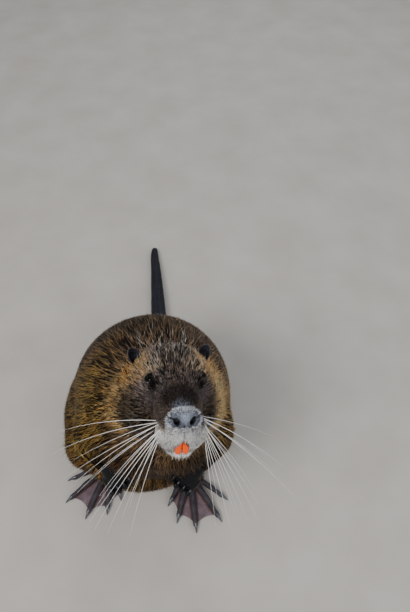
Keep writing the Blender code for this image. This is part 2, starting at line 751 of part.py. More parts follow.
def build_body():
    """The furred body as one skin, then parted into its named solids."""
    shapes = [*trunk_shapes(), *head_shapes()]
    for side in SIDES:
        shapes += [*leg_shapes(side), *arm_shapes(side)]
    whole = above_floor(melted("trunk", shapes, BODY_VOXEL, 8, BODY_TRIANGLES))

    carve(whole, tail_shape(GAP), *(foot_bed(side, GAP) for side in SIDES),
          *(hand_bed(side, GAP) for side in SIDES),
          *(ball("thumb_bed", thumb_root(side), (0.0120, 0.0120, 0.0140), rings=4) for side in SIDES),
          solver="MANIFOLD")
    parts = {}
    head = split_off(whole, "head", barrel(HEAD_PLANE, -HEAD_AXIS, 0.088, 0.25))
    neck = split_off(whole, "neck", barrel(NECK_PLANE, (0.10, -0.28, 0.95), 0.12, 0.2))
    parts["head"], parts["neck"] = head, neck
    for side in SIDES:
        parts[f"haunch_{side}"] = split_off(whole, f"haunch_{side}", haunch_region(side))
        parts[f"foreleg_{side}"] = split_off(whole, f"foreleg_{side}", arm_region(side), "MANIFOLD")
    parts["nose"] = split_off(head, "nose", nose_region)
    parts["lower_jaw"] = split_off(head, "lower_jaw", jaw_region)
    carve(head, mouth_notch(), incisor_pair(GAP), *(eye(side, GAP) for side in SIDES),
          *(ear_bowl(side, "bed", GAP) for side in SIDES), *(whisker_pad(side, GAP) for side in SIDES),
          solver="MANIFOLD")
    carve(parts["lower_jaw"], mouth_notch(), incisor_pair(GAP), solver="MANIFOLD")
    parts["trunk"] = whole
    return parts


def main():
    clear_scene()
    parts = build_body()
    for side in SIDES:
        parts[f"hind_foot_{side}"] = hind_foot(side)
        parts[f"forepaw_{side}"] = forepaw(side)
        parts[f"ear_{side}"] = ear(side)
        parts[f"eye_{side}"] = eye(side)
        parts[f"whiskers_{side}"] = whisker_group(side)
    parts["tail"] = above_floor(tail_shape())
    parts["incisors"] = incisor_pair()

    finish = {"nose": "nose", "tail": "bare_skin", "incisors": "enamel",
              "head": "dark_coat", "lower_jaw": "muzzle"}
    for side in SIDES:
        finish |= {f"hind_foot_{side}": "bare_skin", f"forepaw_{side}": "bare_skin",
                   f"ear_{side}": "bare_skin", f"eye_{side}": "eye", f"whiskers_{side}": "whisker"}
    for name, thing in parts.items():
        thing.name = name
        finish_node(thing, finish.get(name, "coat"))


main()
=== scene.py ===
"""Looks of a life-size coypu that sits up on its haunches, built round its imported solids.

The animal faces -Y, its left side is +X and the floor is at Z = 0. One skin lies inside the flesh nodes by the
depth of the coat, and the coat is solid tufts that are rooted in it.
"""

import logging
import math
from collections.abc import Iterator
from contextlib import contextmanager
from dataclasses import dataclass, field
from enum import Enum

import bmesh
import bpy
import numpy as np
from mathutils import Matrix, Vector
from mathutils.bvhtree import BVHTree


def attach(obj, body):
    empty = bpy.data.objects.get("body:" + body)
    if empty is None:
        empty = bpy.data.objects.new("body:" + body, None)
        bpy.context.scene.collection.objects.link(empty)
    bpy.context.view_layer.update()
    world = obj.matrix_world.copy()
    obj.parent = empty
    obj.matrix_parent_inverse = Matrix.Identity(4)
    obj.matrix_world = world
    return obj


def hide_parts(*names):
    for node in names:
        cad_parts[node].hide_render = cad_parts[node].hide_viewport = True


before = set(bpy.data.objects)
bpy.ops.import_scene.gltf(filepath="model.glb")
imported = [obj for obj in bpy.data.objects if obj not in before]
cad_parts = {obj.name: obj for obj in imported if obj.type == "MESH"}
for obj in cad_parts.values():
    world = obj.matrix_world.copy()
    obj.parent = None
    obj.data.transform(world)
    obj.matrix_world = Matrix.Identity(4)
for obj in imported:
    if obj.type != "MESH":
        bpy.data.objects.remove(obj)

logging.basicConfig(level=logging.INFO, format="%(message)s")
LOG = logging.getLogger("coypu")

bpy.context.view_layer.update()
Array = np.ndarray


class Side(Enum):
    """The two sides of the animal, with the sign of X."""

    LEFT = 1.0
    RIGHT = -1.0

    @property
    def label(self) -> str:
        """The side's word in node names."""
        return self.name.lower()


def by_side(left: object, right: object) -> object:
    """A dataclass field with a value for each side."""
    return field(default_factory=lambda: {Side.LEFT: left, Side.RIGHT: right})


# ---------------- numbers and meshes

def soft(value: Array, low: float, high: float) -> Array:
    """Smooth step from 0 at low to 1 at high, or down again where low is above high."""
    t = np.clip((value - low) / (high - low), 0.0, 1.0)
    return t * t * (3 - 2 * t)


def unit(rows: Array) -> Array:
    """Rows of vectors made one long."""
    return rows / np.maximum(np.linalg.norm(rows, axis=-1, keepdims=True), 1e-12)


def distance(points: Array, place: Array) -> Array:
    """How far each point is from a place."""
    return np.linalg.norm(points - np.asarray(place), axis=1)


def blob(points: Array, centre: tuple, radii: tuple, edge: float = 0.35) -> Array:
    """Mask of an ellipsoid: 1 inside, 0 outside, and soft over a share of the radius to both sides of its edge."""
    far = np.linalg.norm((points - np.array(centre)) / np.array(radii), axis=1)
    return soft(far, 1 + edge, 1 - edge)


def pair(points: Array, centre: tuple, radii: tuple, edge: float = 0.35) -> Array:
    """Mask of two ellipsoids that mirror each other across X."""
    other = (-centre[0], *centre[1:])
    return np.maximum(blob(points, centre, radii, edge), blob(points, other, radii, edge))


def placed(name: str, data: bpy.types.ID) -> bpy.types.Object:
    """A new object in the scene.

    Args:
        name: the object's name.
        data: its mesh, lamp or camera.

    Returns:
        The object.
    """
    made = bpy.data.objects.new(name, data)
    bpy.context.scene.collection.objects.link(made)
    return made


def mesh_from(name: str, points: Array, faces: list) -> bpy.types.Object:
    """A new object from points and faces.

    Args:
        name: the object's name.
        points: positions as rows.
        faces: for each face, the numbers of its points.

    Returns:
        The object.
    """
    mesh = bpy.data.meshes.new(name)
    mesh.from_pydata([tuple(p) for p in np.asarray(points, float)], [], faces)
    mesh.update()
    return placed(name, mesh)


def rows_of(items: bpy.types.bpy_prop_collection, name: str, width: int, kind: type = np.float32) -> Array:
    """One property of every item of a mesh, as rows.

    Args:
        items: the mesh's vertices, edges or the like.
        name: the property.
        width: how many numbers it holds.
        kind: their type.

    Returns:
        A row for each item.
    """
    flat = np.empty(len(items) * width, kind)
    items.foreach_get(name, flat)
    return flat.reshape(-1, width)


def points_of(mesh: bpy.types.Mesh) -> Array:
    """Positions of a mesh's vertices as rows."""
    return rows_of(mesh.vertices, "co", 3).astype(float)


def set_points(mesh: bpy.types.Mesh, points: Array) -> None:
    """Moves a mesh's vertices."""
    mesh.vertices.foreach_set("co", np.asarray(points, np.float32).ravel())
    mesh.update()


def above_floor(mesh: bpy.types.Mesh) -> None:
    """Lifts the vertices that lie under the floor up to it."""
    set_points(mesh, np.maximum(points_of(mesh), (-np.inf, -np.inf, 0.0)))


def normals_of(mesh: bpy.types.Mesh) -> Array:
    """Normals of a mesh's vertices as rows."""
    return rows_of(mesh.vertex_normals, "vector", 3).astype(float)


def edges_of(mesh: bpy.types.Mesh) -> Array:
    """Ends of a mesh's edges as rows of two vertex numbers."""
    return rows_of(mesh.edges, "vertices", 2, np.int32)


@contextmanager
def editing(mesh: bpy.types.Mesh) -> Iterator[bmesh.types.BMesh]:
    """Opens a mesh for edits and writes them back.

    Args:
        mesh: the mesh.

    Yields:
        The open mesh.
    """
    bm = bmesh.new()
    bm.from_mesh(mesh)
    bm.verts.ensure_lookup_table()
    yield bm
    bm.to_mesh(mesh)
    bm.free()


def face_outwards(mesh: bpy.types.Mesh) -> None:
    """Turns the faces of a closed mesh outwards."""
    with editing(mesh) as bm:
        bmesh.ops.recalc_face_normals(bm, faces=bm.faces)


def report(made: bpy.types.Object) -> None:
    """Says that a piece is made."""
    LOG.info("%s: %d faces", made.name, len(made.data.polygons))


def dress(made: bpy.types.Object, finish: bpy.types.Material) -> None:
    """Shades a piece smooth, gives it its finish and reports it.

    Args:
        made: the piece.
        finish: its material.
    """
    made.data.polygons.foreach_set("use_smooth", np.ones(len(made.data.polygons), bool))
    made.data.materials.append(finish)
    report(made)


def ring_quads(rings: int, sides: int) -> list:
    """Quads between rings of points that follow each other."""
    return [(r * sides + k, (r + 1) * sides + k, (r + 1) * sides + (k + 1) % sides, r * sides + (k + 1) % sides)
            for r in range(rings - 1) for k in range(sides)]


def closed_rings(rings: int, sides: int) -> list:
    """Quads between rings of points, and fans to the two end points that come after them.

    Args:
        rings: how many rings there are.
        sides: points in a ring.

    Returns:
        The faces of the closed shape.
    """
    end, last = rings * sides, (rings - 1) * sides
    faces = ring_quads(rings, sides)
    faces += [(end, k, (k + 1) % sides) for k in range(sides)]
    faces += [(end + 1, last + (k + 1) % sides, last + k) for k in range(sides)]
    return faces


def turned_over(faces: list) -> list:
    """The same faces, seen from the other side."""
    return [(face[0], *face[:0:-1]) for face in faces]


def averaged(values: Array, edges: Array, rounds: int, share: Array | float = 1.0) -> Array:
    """Values at vertices, each blended with its neighbours' mean a number of times.

    Args:
        values: rows at the vertices.
        edges: the mesh's edges.
        rounds: how often they are blended.
        share: how much each vertex takes part.

    Returns:
        The blended rows.
    """
    count = np.bincount(edges.ravel(), minlength=len(values)).astype(float)
    count = np.maximum(count, 1)[:, None]
    values = np.array(values, float)
    mix = np.broadcast_to(np.asarray(share, float).reshape(-1, 1), (len(values), 1))
    for _ in range(rounds):
        total = np.zeros_like(values)
        for axis in range(values.shape[1]):
            total[:, axis] = (np.bincount(edges[:, 0], values[edges[:, 1], axis], len(values))
                              + np.bincount(edges[:, 1], values[edges[:, 0], axis], len(values)))
        values = values + (total / count - values) * 0.5 * mix
    return values


def evaluated(thing: bpy.types.Object) -> bpy.types.Object:
    """Replaces an object's mesh by its evaluated one and removes its modifiers.

    Args:
        thing: the object.

    Returns:
        The same object.
    """
    bpy.context.view_layer.update()
    graph = bpy.context.evaluated_depsgraph_get()
    new = bpy.data.meshes.new_from_object(thing.evaluated_get(graph), depsgraph=graph)
    old = thing.data
    thing.modifiers.clear()
    thing.data = new
    if isinstance(old, bpy.types.Mesh):
        bpy.data.meshes.remove(old)
    return thing


def attribute(mesh: bpy.types.Mesh, name: str, values: Array) -> None:
    """Stores one value or colour a vertex.

    Args:
        mesh: the mesh.
        name: the attribute's name.
        values: numbers, or rows of colours.
    """
    values = np.asarray(values, np.float32)
    if values.ndim == 1:
        made = mesh.attributes.new(name, "FLOAT", "POINT")
        made.data.foreach_set("value", values)
    else:
        made = mesh.attributes.new(name, "FLOAT_COLOR", "POINT")
        colours = np.concatenate([values, np.ones((len(values), 1), np.float32)], axis=1)
        made.data.foreach_set("color", colours.ravel())


def smooth_curve(rows: Array, per_span: int) -> Array:
    """Points on a Catmull-Rom curve through rows of numbers.

    Args:
        rows: what the curve passes through.
        per_span: points from one row to the next.

    Returns:
        The curve's points, with its last row.
    """
    rows = np.asarray(rows, float)
    ends = np.vstack([rows[0] * 2 - rows[1], rows, rows[-1] * 2 - rows[-2]])
    found = []
    for i in range(len(rows) - 1):
        a, b, c, d = ends[i:i + 4]
        for t in np.arange(per_span) / per_span:
            found.append(0.5 * (2 * b + (c - a) * t + (2 * a - 5 * b + 4 * c - d) * t * t
                                + (3 * b - a - 3 * c + d) * t ** 3))
    return np.array([*found, rows[-1]])


@dataclass
class Shapes:
    """Closed shapes gathered into one mesh, to be fused into a single skin."""

    points: list = field(default_factory=list)
    faces: list = field(default_factory=list)

    def add(self, points: Array, faces: list) -> None:
        """Takes in one closed shape.

        Args:
            points: its points.
            faces: for each face, the numbers of its points.
        """
        start = len(self.points)
        self.points.extend(tuple(p) for p in points)
        self.faces.extend(tuple(start + i for i in face) for face in faces)

    def sweep(self, stations: list, side: tuple = (1, 0, 0), sides: int = 32, per_span: int = 6,
              power: float = 2.0) -> None:
        """A round-ended tube.

        Args:
            stations: rows of x, y, z, half width and half depth.
            side: the direction along which the half width is measured.
            sides: corners of a section.
            per_span: rings for each pair of stations.
            power: 2 for an ellipse, more for a squarer section.
        """
        rows = smooth_curve(stations, per_span)
        centres, radii = rows[:, :3], np.maximum(rows[:, 3:5], 1e-4)
        tangents = unit(np.gradient(centres, axis=0))
        caps = np.radians((18, 36, 54, 70, 82))

        def cap(index: int, way: float) -> tuple:
            """Centres and radii of a round end's rings, and the end itself."""
            reach = radii[index].min()
            middle = centres[index] + tangents[index] * (way * reach * np.sin(caps))[:, None]
            return middle, np.outer(np.cos(caps), radii[index]), centres[index] + tangents[index] * way * reach

        first, first_radii, start = cap(0, -1.0)
        last, last_radii, end = cap(-1, 1.0)
        centres = np.vstack([first[::-1], centres, last])
        radii = np.vstack([first_radii[::-1], radii, last_radii])
        ways = np.vstack([[tangents[0]] * len(caps), tangents, [tangents[-1]] * len(caps)])
        across = unit(np.array(side, float) - ways * (ways @ np.array(side, float))[:, None])
        other = np.cross(ways, across)
        angle = 2 * np.pi * np.arange(sides) / sides
        c, s = np.cos(angle), np.sin(angle)
        stretch = (np.abs(c) ** power + np.abs(s) ** power) ** (-1 / power)
        rings = (centres[:, None] + across[:, None] * (radii[:, :1] * (c * stretch))[..., None]
                 + other[:, None] * (radii[:, 1:] * (s * stretch))[..., None])
        self.add(np.vstack([rings.reshape(-1, 3), start, end]), turned_over(closed_rings(len(centres), sides)))

    def ball(self, centre: Array, radii: tuple, turn: Array | None = None, rings: int = 20) -> None:
        """An ellipsoid with half sizes radii, turned by a matrix.

        Args:
            centre: its middle.
            radii: its half sizes.
            turn: a rotation matrix, or None.
            rings: rings from pole to pole.
        """
        turn = np.eye(3) if turn is None else turn
        sides = 2 * rings
        polar = np.pi * np.arange(1, rings) / rings
        around = 2 * np.pi * np.arange(sides) / sides
        grid = np.stack([np.outer(np.sin(polar), np.cos(around)), np.outer(np.sin(polar), np.sin(around)),
                         np.outer(np.cos(polar), np.ones(sides))], axis=-1).reshape(-1, 3)
        local = np.vstack([grid, (0, 0, 1), (0, 0, -1)]) * np.array(radii)
        self.add(np.asarray(centre) + local @ turn.T, closed_rings(rings - 1, sides))

    def fused(self, name: str, voxel: float, rounds: int) -> bpy.types.Object:
        """All shapes melted into one skin.

        Args:
            name: the object's name.
            voxel: cell size of the melt.
            rounds: how often it is smoothed.

        Returns:
            The skin.
        """
        made = mesh_from(name, np.array(self.points), self.faces)
        face_outwards(made.data)
        fuse = made.modifiers.new("fuse", "REMESH")
        fuse.mode = "VOXEL"
        fuse.voxel_size = voxel
        evaluated(made)
        set_points(made.data, averaged(points_of(made.data), edges_of(made.data), rounds))
        return made


@dataclass(frozen=True)
class HeadFrame:
    """The head's own frame: from the tip of the nose across, back along the skull, and up."""

    nose_tip: tuple = (0.07, -0.199, 0.386)
    yaw: float = math.radians(16.0)
    pitch: float = math.radians(42.0)
    roll: float = math.radians(12.0)

    @property
    def turn(self) -> Array:
        """Matrix from the head's frame to the model's frame."""
        return np.array(Matrix.Rotation(self.yaw, 3, "Z") @ Matrix.Rotation(-self.pitch, 3, "X")
                        @ Matrix.Rotation(self.roll, 3, "Y"))

    def at(self, x: float, back: float, up: float) -> Array:
        """A point of the head in the model's frame."""
        return np.array(self.nose_tip) + self.turn @ np.array((x, back, up))

    def stations(self, rows: list) -> list:
        """Rows that start with a point of the head, with the point in the model's frame."""
        return [(*self.at(*row[:3]), *row[3:]) for row in rows]

    def world(self, rows: Array) -> Array:
        """Points of the head in the model's frame."""
        return np.array(self.nose_tip) + np.asarray(rows) @ self.turn.T

    def local(self, points: Array) -> Array:
        """Points of the model's frame in the head's frame."""
        return (points - np.array(self.nose_tip)) @ self.turn


HEAD = HeadFrame()


# ---------------- shader helpers

class Nodes:
    """Builds one node tree: adds nodes, sets their values and links them."""

    def __init__(self, tree: bpy.types.NodeTree) -> None:
        """Starts on a tree."""
        self.tree = tree

    def add(self, kind: str, inputs: dict | None = None, **settings: object) -> bpy.types.Node:
        """Adds a node.

        Args:
            kind: the node's type name.
            inputs: values or output sockets for input sockets, by name or number.
            settings: the node's own properties.

        Returns:
            The new node.
        """
        node = self.tree.nodes.new(kind)
        for name, value in settings.items():
            setattr(node, name, value)
        for key, value in (inputs or {}).items():
            socket = node.inputs[key]
            if isinstance(value, bpy.types.NodeSocket):
                self.tree.links.new(value, socket)
            else:
                socket.default_value = value
        return node

    def group(self, tree: bpy.types.NodeTree, inputs: dict) -> bpy.types.Node:
        """Places a shader group with its own values."""
        return self.add("ShaderNodeGroup", inputs, node_tree=tree)

    def link(self, source: bpy.types.NodeSocket, target: bpy.types.NodeSocket) -> None:
        """Joins two sockets."""
        self.tree.links.new(source, target)

    def math(self, operation: str, *values: object, clamp: bool = False) -> bpy.types.NodeSocket:
        """Result of a Math node."""
        node = self.add("ShaderNodeMath", dict(enumerate(values)), operation=operation, use_clamp=clamp)
        return node.outputs[0]

    def mix(self, factor: object, a: object, b: object, blend: str = "MIX") -> bpy.types.NodeSocket:
        """Colour mixed from a to b."""
        node = self.add("ShaderNodeMix", {0: factor, 6: a, 7: b}, data_type="RGBA", blend_type=blend)
        return node.outputs[2]

    def value_of(self, name: str, colour: bool = False) -> bpy.types.NodeSocket:
        """A stored attribute."""
        node = self.add("ShaderNodeAttribute", attribute_name=name)
        return node.outputs["Color" if colour else "Fac"]

    def noise(self, scale: float, detail: float = 3.0, place: object = None,
              roughness: float = 0.5) -> bpy.types.NodeSocket:
        """Value of a Noise Texture on object coordinates, or on another place.

        Args:
            scale: the pattern's scale.
            detail: its octaves.
            place: coordinates to read instead.
            roughness: weight of the fine octaves.

        Returns:
            The value.
        """
        place = place or self.add("ShaderNodeTexCoord").outputs["Object"]
        node = self.add("ShaderNodeTexNoise", {"Vector": place, "Scale": scale, "Detail": detail,
                                               "Roughness": roughness})
        return node.outputs["Fac"]

    def ramp(self, value: object, low: float, high: float) -> bpy.types.NodeSocket:
        """A value spread from low..high to 0..1."""
        node = self.add("ShaderNodeMapRange", {"Value": value, "From Min": low, "From Max": high}, clamp=True)
        return node.outputs["Result"]


def new_group(name: str, inputs: list, outputs: list) -> tuple:
    """An empty shader group.

    Args:
        name: the group's name.
        inputs: rows of name, socket type and default value.
        outputs: rows of name and socket type.

    Returns:
        The group, its Nodes builder, the inputs' sockets and the output node.
    """
    group = bpy.data.node_groups.new(name, "ShaderNodeTree")
    for label, kind, default in inputs:
        socket = group.interface.new_socket(label, in_out="INPUT", socket_type=kind)
        socket.default_value = default
    for label, kind in outputs:
        group.interface.new_socket(label, in_out="OUTPUT", socket_type=kind)
    nodes = Nodes(group)
    source = nodes.add("NodeGroupInput").outputs
    return group, nodes, source, nodes.add("NodeGroupOutput")


def coat_colour_group() -> bpy.types.NodeTree:
    """Colour of the coat, shared by the tufts and the skin under them.

    Returns:
        The group.
    """
    colour, number = "NodeSocketColor", "NodeSocketFloat"
    group, n, given, out = new_group(
        "coat_colours",
        [("Base", colour, (0.05, 0.03, 0.02, 1)), ("Tip", colour, (0.4, 0.25, 0.1, 1)),
         ("Share", number, 0.5), ("Chance", number, 0.5), ("Along", number, 0.5)],
        [("Colour", colour)])
    lit = n.ramp(n.math("SUBTRACT", given["Share"], given["Chance"]), -0.02, 0.03)
    outer = n.ramp(given["Along"], 0.05, 0.5)
    amount = n.math("MULTIPLY", lit, outer)
    streak = n.noise(260.0, 2.0)
    amount = n.math("MULTIPLY", amount, n.ramp(streak, 0.1, 0.4))
    body = n.mix(amount, given["Base"], given["Tip"])
    root = n.ramp(given["Along"], 0.0, 0.45)
    depth = n.math("MULTIPLY_ADD", root, 0.45, 0.55)
    shade = n.add("ShaderNodeHueSaturation", {"Value": depth, "Color": body}).outputs["Color"]
    patch = n.noise(34.0, 3.0)
    swing = n.math("MULTIPLY_ADD", n.ramp(patch, 0.25, 0.75), 0.45, 0.78)
    final = n.add("ShaderNodeHueSaturation", {"Value": swing, "Color": shade}).outputs["Color"]
    n.link(final, out.inputs["Colour"])
    return group


def wrinkle_group() -> bpy.types.NodeTree:
    """Fine creases and pebbled grain of bare skin.

    Returns:
        The group.
    """
    number = "NodeSocketFloat"
    group, n, given, out = new_group(
        "skin_grain", [("Scale", number, 900.0), ("Crease", number, 0.5)],
        [("Height", number), ("Wear", number)])
    place = n.add("ShaderNodeTexCoord").outputs["Object"]
    cells = n.add("ShaderNodeTexVoronoi", {"Vector": place, "Scale": given["Scale"]},
                  feature="DISTANCE_TO_EDGE")
    pebble = n.ramp(cells.outputs["Distance"], 0.0, 0.35)
    wide = n.add("ShaderNodeTexNoise", {"Vector": place, "Scale": n.math("MULTIPLY", given["Scale"], 0.22),
                                        "Detail": 4.0})
    crease = n.math("MULTIPLY", n.ramp(wide.outputs["Fac"], 0.35, 0.65), given["Crease"])
    n.link(n.math("ADD", pebble, crease), out.inputs["Height"])
    soft_noise = n.add("ShaderNodeTexNoise", {"Vector": place, "Scale": 70.0, "Detail": 5.0})
    n.link(soft_noise.outputs["Fac"], out.inputs["Wear"])
    return group


class Groups:
    """The shader groups that more than one finish uses."""

    def __init__(self) -> None:
        """Builds each group once."""
        self.coat = coat_colour_group()
        self.grain = wrinkle_group()


@dataclass(frozen=True)
class Surface:
    """Name and constant settings of a finish on a Principled surface."""

    name: str
    roughness: float = 0.5
    specular: float = 0.5
    coat: float = 0.0
    coat_roughness: float = 0.1
    subsurface: float = 0.0
    subsurface_scale: float = 0.004

    def start(self) -> tuple:
        """A new material with these settings.

        Returns:
            The material, its Nodes builder and its Principled node.
        """
        made = bpy.data.materials.new(self.name)
        made.use_nodes = True
        shader = made.node_tree.nodes["Principled BSDF"]
        values = {"Roughness": self.roughness, "Specular IOR Level": self.specular, "Coat Weight": self.coat,
                  "Coat Roughness": self.coat_roughness, "Subsurface Weight": self.subsurface}
        if self.subsurface:
            values["Subsurface Scale"] = self.subsurface_scale
        for label, value in values.items():
            shader.inputs[label].default_value = value
        return made, Nodes(made.node_tree), shader


def bump(n: Nodes, shader: bpy.types.Node, height: object, distance: float, strength: float) -> None:
    """Feeds a height to the surface's normal."""
    node = n.add("ShaderNodeBump", {"Height": height, "Distance": distance, "Strength": strength})
    n.link(node.outputs["Normal"], shader.inputs["Normal"])


def coat_colour(n: Nodes, groups: Groups, chance: object, along: object) -> bpy.types.NodeSocket:
    """The shared coat colour from the stored markings, for a tuft's own chance and a place along it."""
    given = {"Base": n.value_of("base_colour", True), "Tip": n.value_of("tip_colour", True),
             "Share": n.value_of("share"), "Chance": chance, "Along": along}
    return n.group(groups.coat, given).outputs["Colour"]


@dataclass(frozen=True)
class CoatHair(Surface):
    """Hair of the coat, coloured from root to tip."""

    def make(self, groups: Groups) -> bpy.types.Material:
        """Makes the material.

        Args:
            groups: the shared groups.

        Returns:
            The material.
        """
        made, n, shader = self.start()
        colour = coat_colour(n, groups, n.value_of("chance"), n.value_of("along"))
        n.link(colour, shader.inputs["Base Color"])
        return made


@dataclass(frozen=True)
class FurredSkin(Surface):
    """Underfur and skin under the tufts, with the same markings, and bare round the eyes and lips."""

    dark: tuple = (0.0016, 0.0014, 0.0016)
    light: tuple = (0.0065, 0.0052, 0.0056)
    along: float = 0.34

    def make(self, groups: Groups) -> bpy.types.Material:
        """Makes the material.

        Args:
            groups: the shared groups.

        Returns:
            The material.
        """
        made, n, shader = self.start()
        colour = coat_colour(n, groups, n.noise(420.0, 2.0), self.along)
        grain = n.group(groups.grain, {"Scale": 1500.0, "Crease": 0.6})
        bare = n.mix(n.ramp(grain.outputs["Wear"], 0.3, 0.7), (*self.dark, 1), (*self.light, 1))
        n.link(n.mix(n.value_of("bare"), colour, bare), shader.inputs["Base Color"])
        height = n.math("ADD", n.noise(900.0, 3.0), n.math("MULTIPLY", grain.outputs["Height"], 0.35))
        bump(n, shader, height, 0.0007, 0.7)
        return made


@dataclass(frozen=True)
class BareSkin(Surface):
    """Bare skin with a pebbled grain, whose markings lay one tone over another.

    A tone is a row of the marking, the darkest and the lightest colour, and the first has no marking.
    """

    tones: tuple = ()
    scale: float = 1500.0
    crease: float = 0.5
    wear: tuple = (0.3, 0.7)
    marking_range: tuple = ()
    worn_roughness: tuple = ()
    ridge: str = ""
    ridge_height: float = 1.0
    bump_distance: float = 0.0004
    bump_strength: float = 0.7

    def make(self, groups: Groups) -> bpy.types.Material:
        """Makes the material.

        Args:
            groups: the shared groups.

        Returns:
            The material.
        """
        made, n, shader = self.start()
        grain = n.group(groups.grain, {"Scale": self.scale, "Crease": self.crease})
        wear, height, colour = n.ramp(grain.outputs["Wear"], *self.wear), grain.outputs["Height"], None
        for marking, dark, light in self.tones:
            tone = n.mix(wear, (*dark, 1), (*light, 1))
            if marking:
                mask = n.value_of(marking)
                tone = n.mix(n.ramp(mask, *self.marking_range) if self.marking_range else mask, colour, tone)
            colour = tone
        n.link(colour, shader.inputs["Base Color"])
        if self.worn_roughness:
            n.link(n.math("MULTIPLY_ADD", grain.outputs["Wear"], *self.worn_roughness), shader.inputs["Roughness"])
        if self.ridge:
            height = n.math("MULTIPLY_ADD", n.value_of(self.ridge), self.ridge_height, height)
        bump(n, shader, height, self.bump_distance, self.bump_strength)
        return made


@dataclass(frozen=True)
class TwoTone(Surface):
    """Two colours mixed by a noise, which may stand out a little, or by a stored marking."""

    dark: tuple = ()
    light: tuple = ()
    marking: str = ""
    scale: float = 300.0
    detail: float = 2.0
    spread: tuple = (0.3, 0.7)
    bump_distance: float = 0.0

    def make(self) -> bpy.types.Material:
        """Makes the material.

        Returns:
            The material.
        """
        made, n, shader = self.start()
        mask = n.value_of(self.marking) if self.marking else n.ramp(n.noise(self.scale, self.detail), *self.spread)
        n.link(n.mix(mask, (*self.dark, 1), (*self.light, 1)), shader.inputs["Base Color"])
        if self.bump_distance:
            bump(n, shader, mask, self.bump_distance, 0.4)
        return made


@dataclass(frozen=True)
class Enamel(Surface):
    """Orange enamel, deeper towards the cutting edge, with fine lines."""

    gum: tuple = (0.84, 0.12, 0.012)
    edge: tuple = (0.88, 0.095, 0.004)
    line: tuple = (0.5, 0.05, 0.006)

    def make(self) -> bpy.types.Material:
        """Makes the material.

        Returns:
            The material.
        """
        made, n, shader = self.start()
        lines = n.noise(1600.0, 3.0)
        colour = n.mix(n.value_of("along"), (*self.gum, 1), (*self.edge, 1))
        n.link(n.mix(n.ramp(lines, 0.55, 0.75), colour, (*self.line, 1)), shader.inputs["Base Color"])
        bump(n, shader, lines, 0.0002, 0.4)
        return made


class Finishes:
    """Every material of the animal and its floor, made once."""

    def __init__(self) -> None:
        """Makes the shared groups, then each material."""
        groups = Groups()
        self.tuft = CoatHair("coat_hair", specular=0.1).make(groups)
        self.skin = FurredSkin("furred_skin", roughness=0.85, specular=0.1).make(groups)
        self.bare = BareSkin(
            "paw_skin", roughness=0.36, specular=0.11, coat=0.09, coat_roughness=0.12, scale=1300.0, crease=0.9,
            tones=(("", (0.0018, 0.0017, 0.0024), (0.0075, 0.007, 0.009)),), wear=(0.3, 0.72),
            worn_roughness=(0.3, 0.3), bump_strength=0.55).make(groups)
        self.foot = BareSkin(
            "hind_foot_skin", roughness=0.45, coat=0.1, coat_roughness=0.4, subsurface=0.05, scale=1000.0, crease=0.8,
            tones=(("", (0.009, 0.008, 0.012), (0.034, 0.027, 0.038)),
                   ("web", (0.075, 0.048, 0.062), (0.19, 0.13, 0.15)),
                   ("toe_edge", (0.04, 0.012, 0.013), (0.09, 0.03, 0.028))),
            ridge="scute", ridge_height=1.6, bump_distance=0.0005).make(groups)
        self.tail = BareSkin(
            "tail_skin", roughness=0.48, specular=0.22, coat=0.05, coat_roughness=0.3, scale=700.0, crease=0.4,
            tones=(("", (0.002, 0.002, 0.003), (0.002, 0.002, 0.003)),
                   ("scale", (0.0045, 0.0056, 0.0115), (0.014, 0.017, 0.031))),
            marking_range=(0.1, 0.7), ridge="scale", bump_strength=0.6).make(groups)
        self.nose = BareSkin(
            "nose_skin", roughness=0.38, coat=0.3, coat_roughness=0.25,
            tones=(("", (0.08, 0.098, 0.138), (0.245, 0.275, 0.35)),
                   ("rim", (0.022, 0.028, 0.045), (0.08, 0.095, 0.13)),
                   # Painted shade: near black inside the nostrils.
                   ("inside", (0.004, 0.004, 0.006), (0.004, 0.004, 0.006)))).make(groups)
        self.ear = BareSkin(
            "ear_skin", specular=0.4, subsurface=0.08, scale=1200.0, crease=0.8,
            tones=(("", (0.0035, 0.0042, 0.008), (0.011, 0.013, 0.024)),
                   ("rim", (0.014, 0.012, 0.018), (0.044, 0.035, 0.044))),
            bump_distance=0.0003, bump_strength=0.6).make(groups)
        self.eye = TwoTone("eye_wet", roughness=0.06, specular=0.08, coat=0.02, coat_roughness=0.02, marking="iris",
                           dark=(0.0008, 0.0006, 0.0006), light=(0.004, 0.0022, 0.0016)).make()
        self.enamel = Enamel("orange_enamel", roughness=0.3, specular=0.25, coat=0.12, coat_roughness=0.15,
                             subsurface=0.03).make()
        self.whisker = TwoTone("whisker_hair", roughness=0.3, dark=(0.84, 0.83, 0.81),
                               light=(0.95, 0.94, 0.92)).make()
        self.dark_whisker = TwoTone("dark_whisker_hair", roughness=0.3, dark=(0.03, 0.025, 0.022),
                                    light=(0.12, 0.09, 0.07)).make()
        self.claw = TwoTone("claw_horn", roughness=0.3, coat=0.35, coat_roughness=0.2, dark=(0.012, 0.014, 0.02),
                            light=(0.085, 0.095, 0.115), scale=900.0, detail=4.0, spread=(0.35, 0.68),
                            bump_distance=0.0002).make()
        self.floor = TwoTone("studio_floor", roughness=0.75, specular=0.25, dark=(0.4, 0.375, 0.345),
                             light=(0.46, 0.435, 0.405), scale=9.0, detail=6.0).make()


# ---------------- the furred body

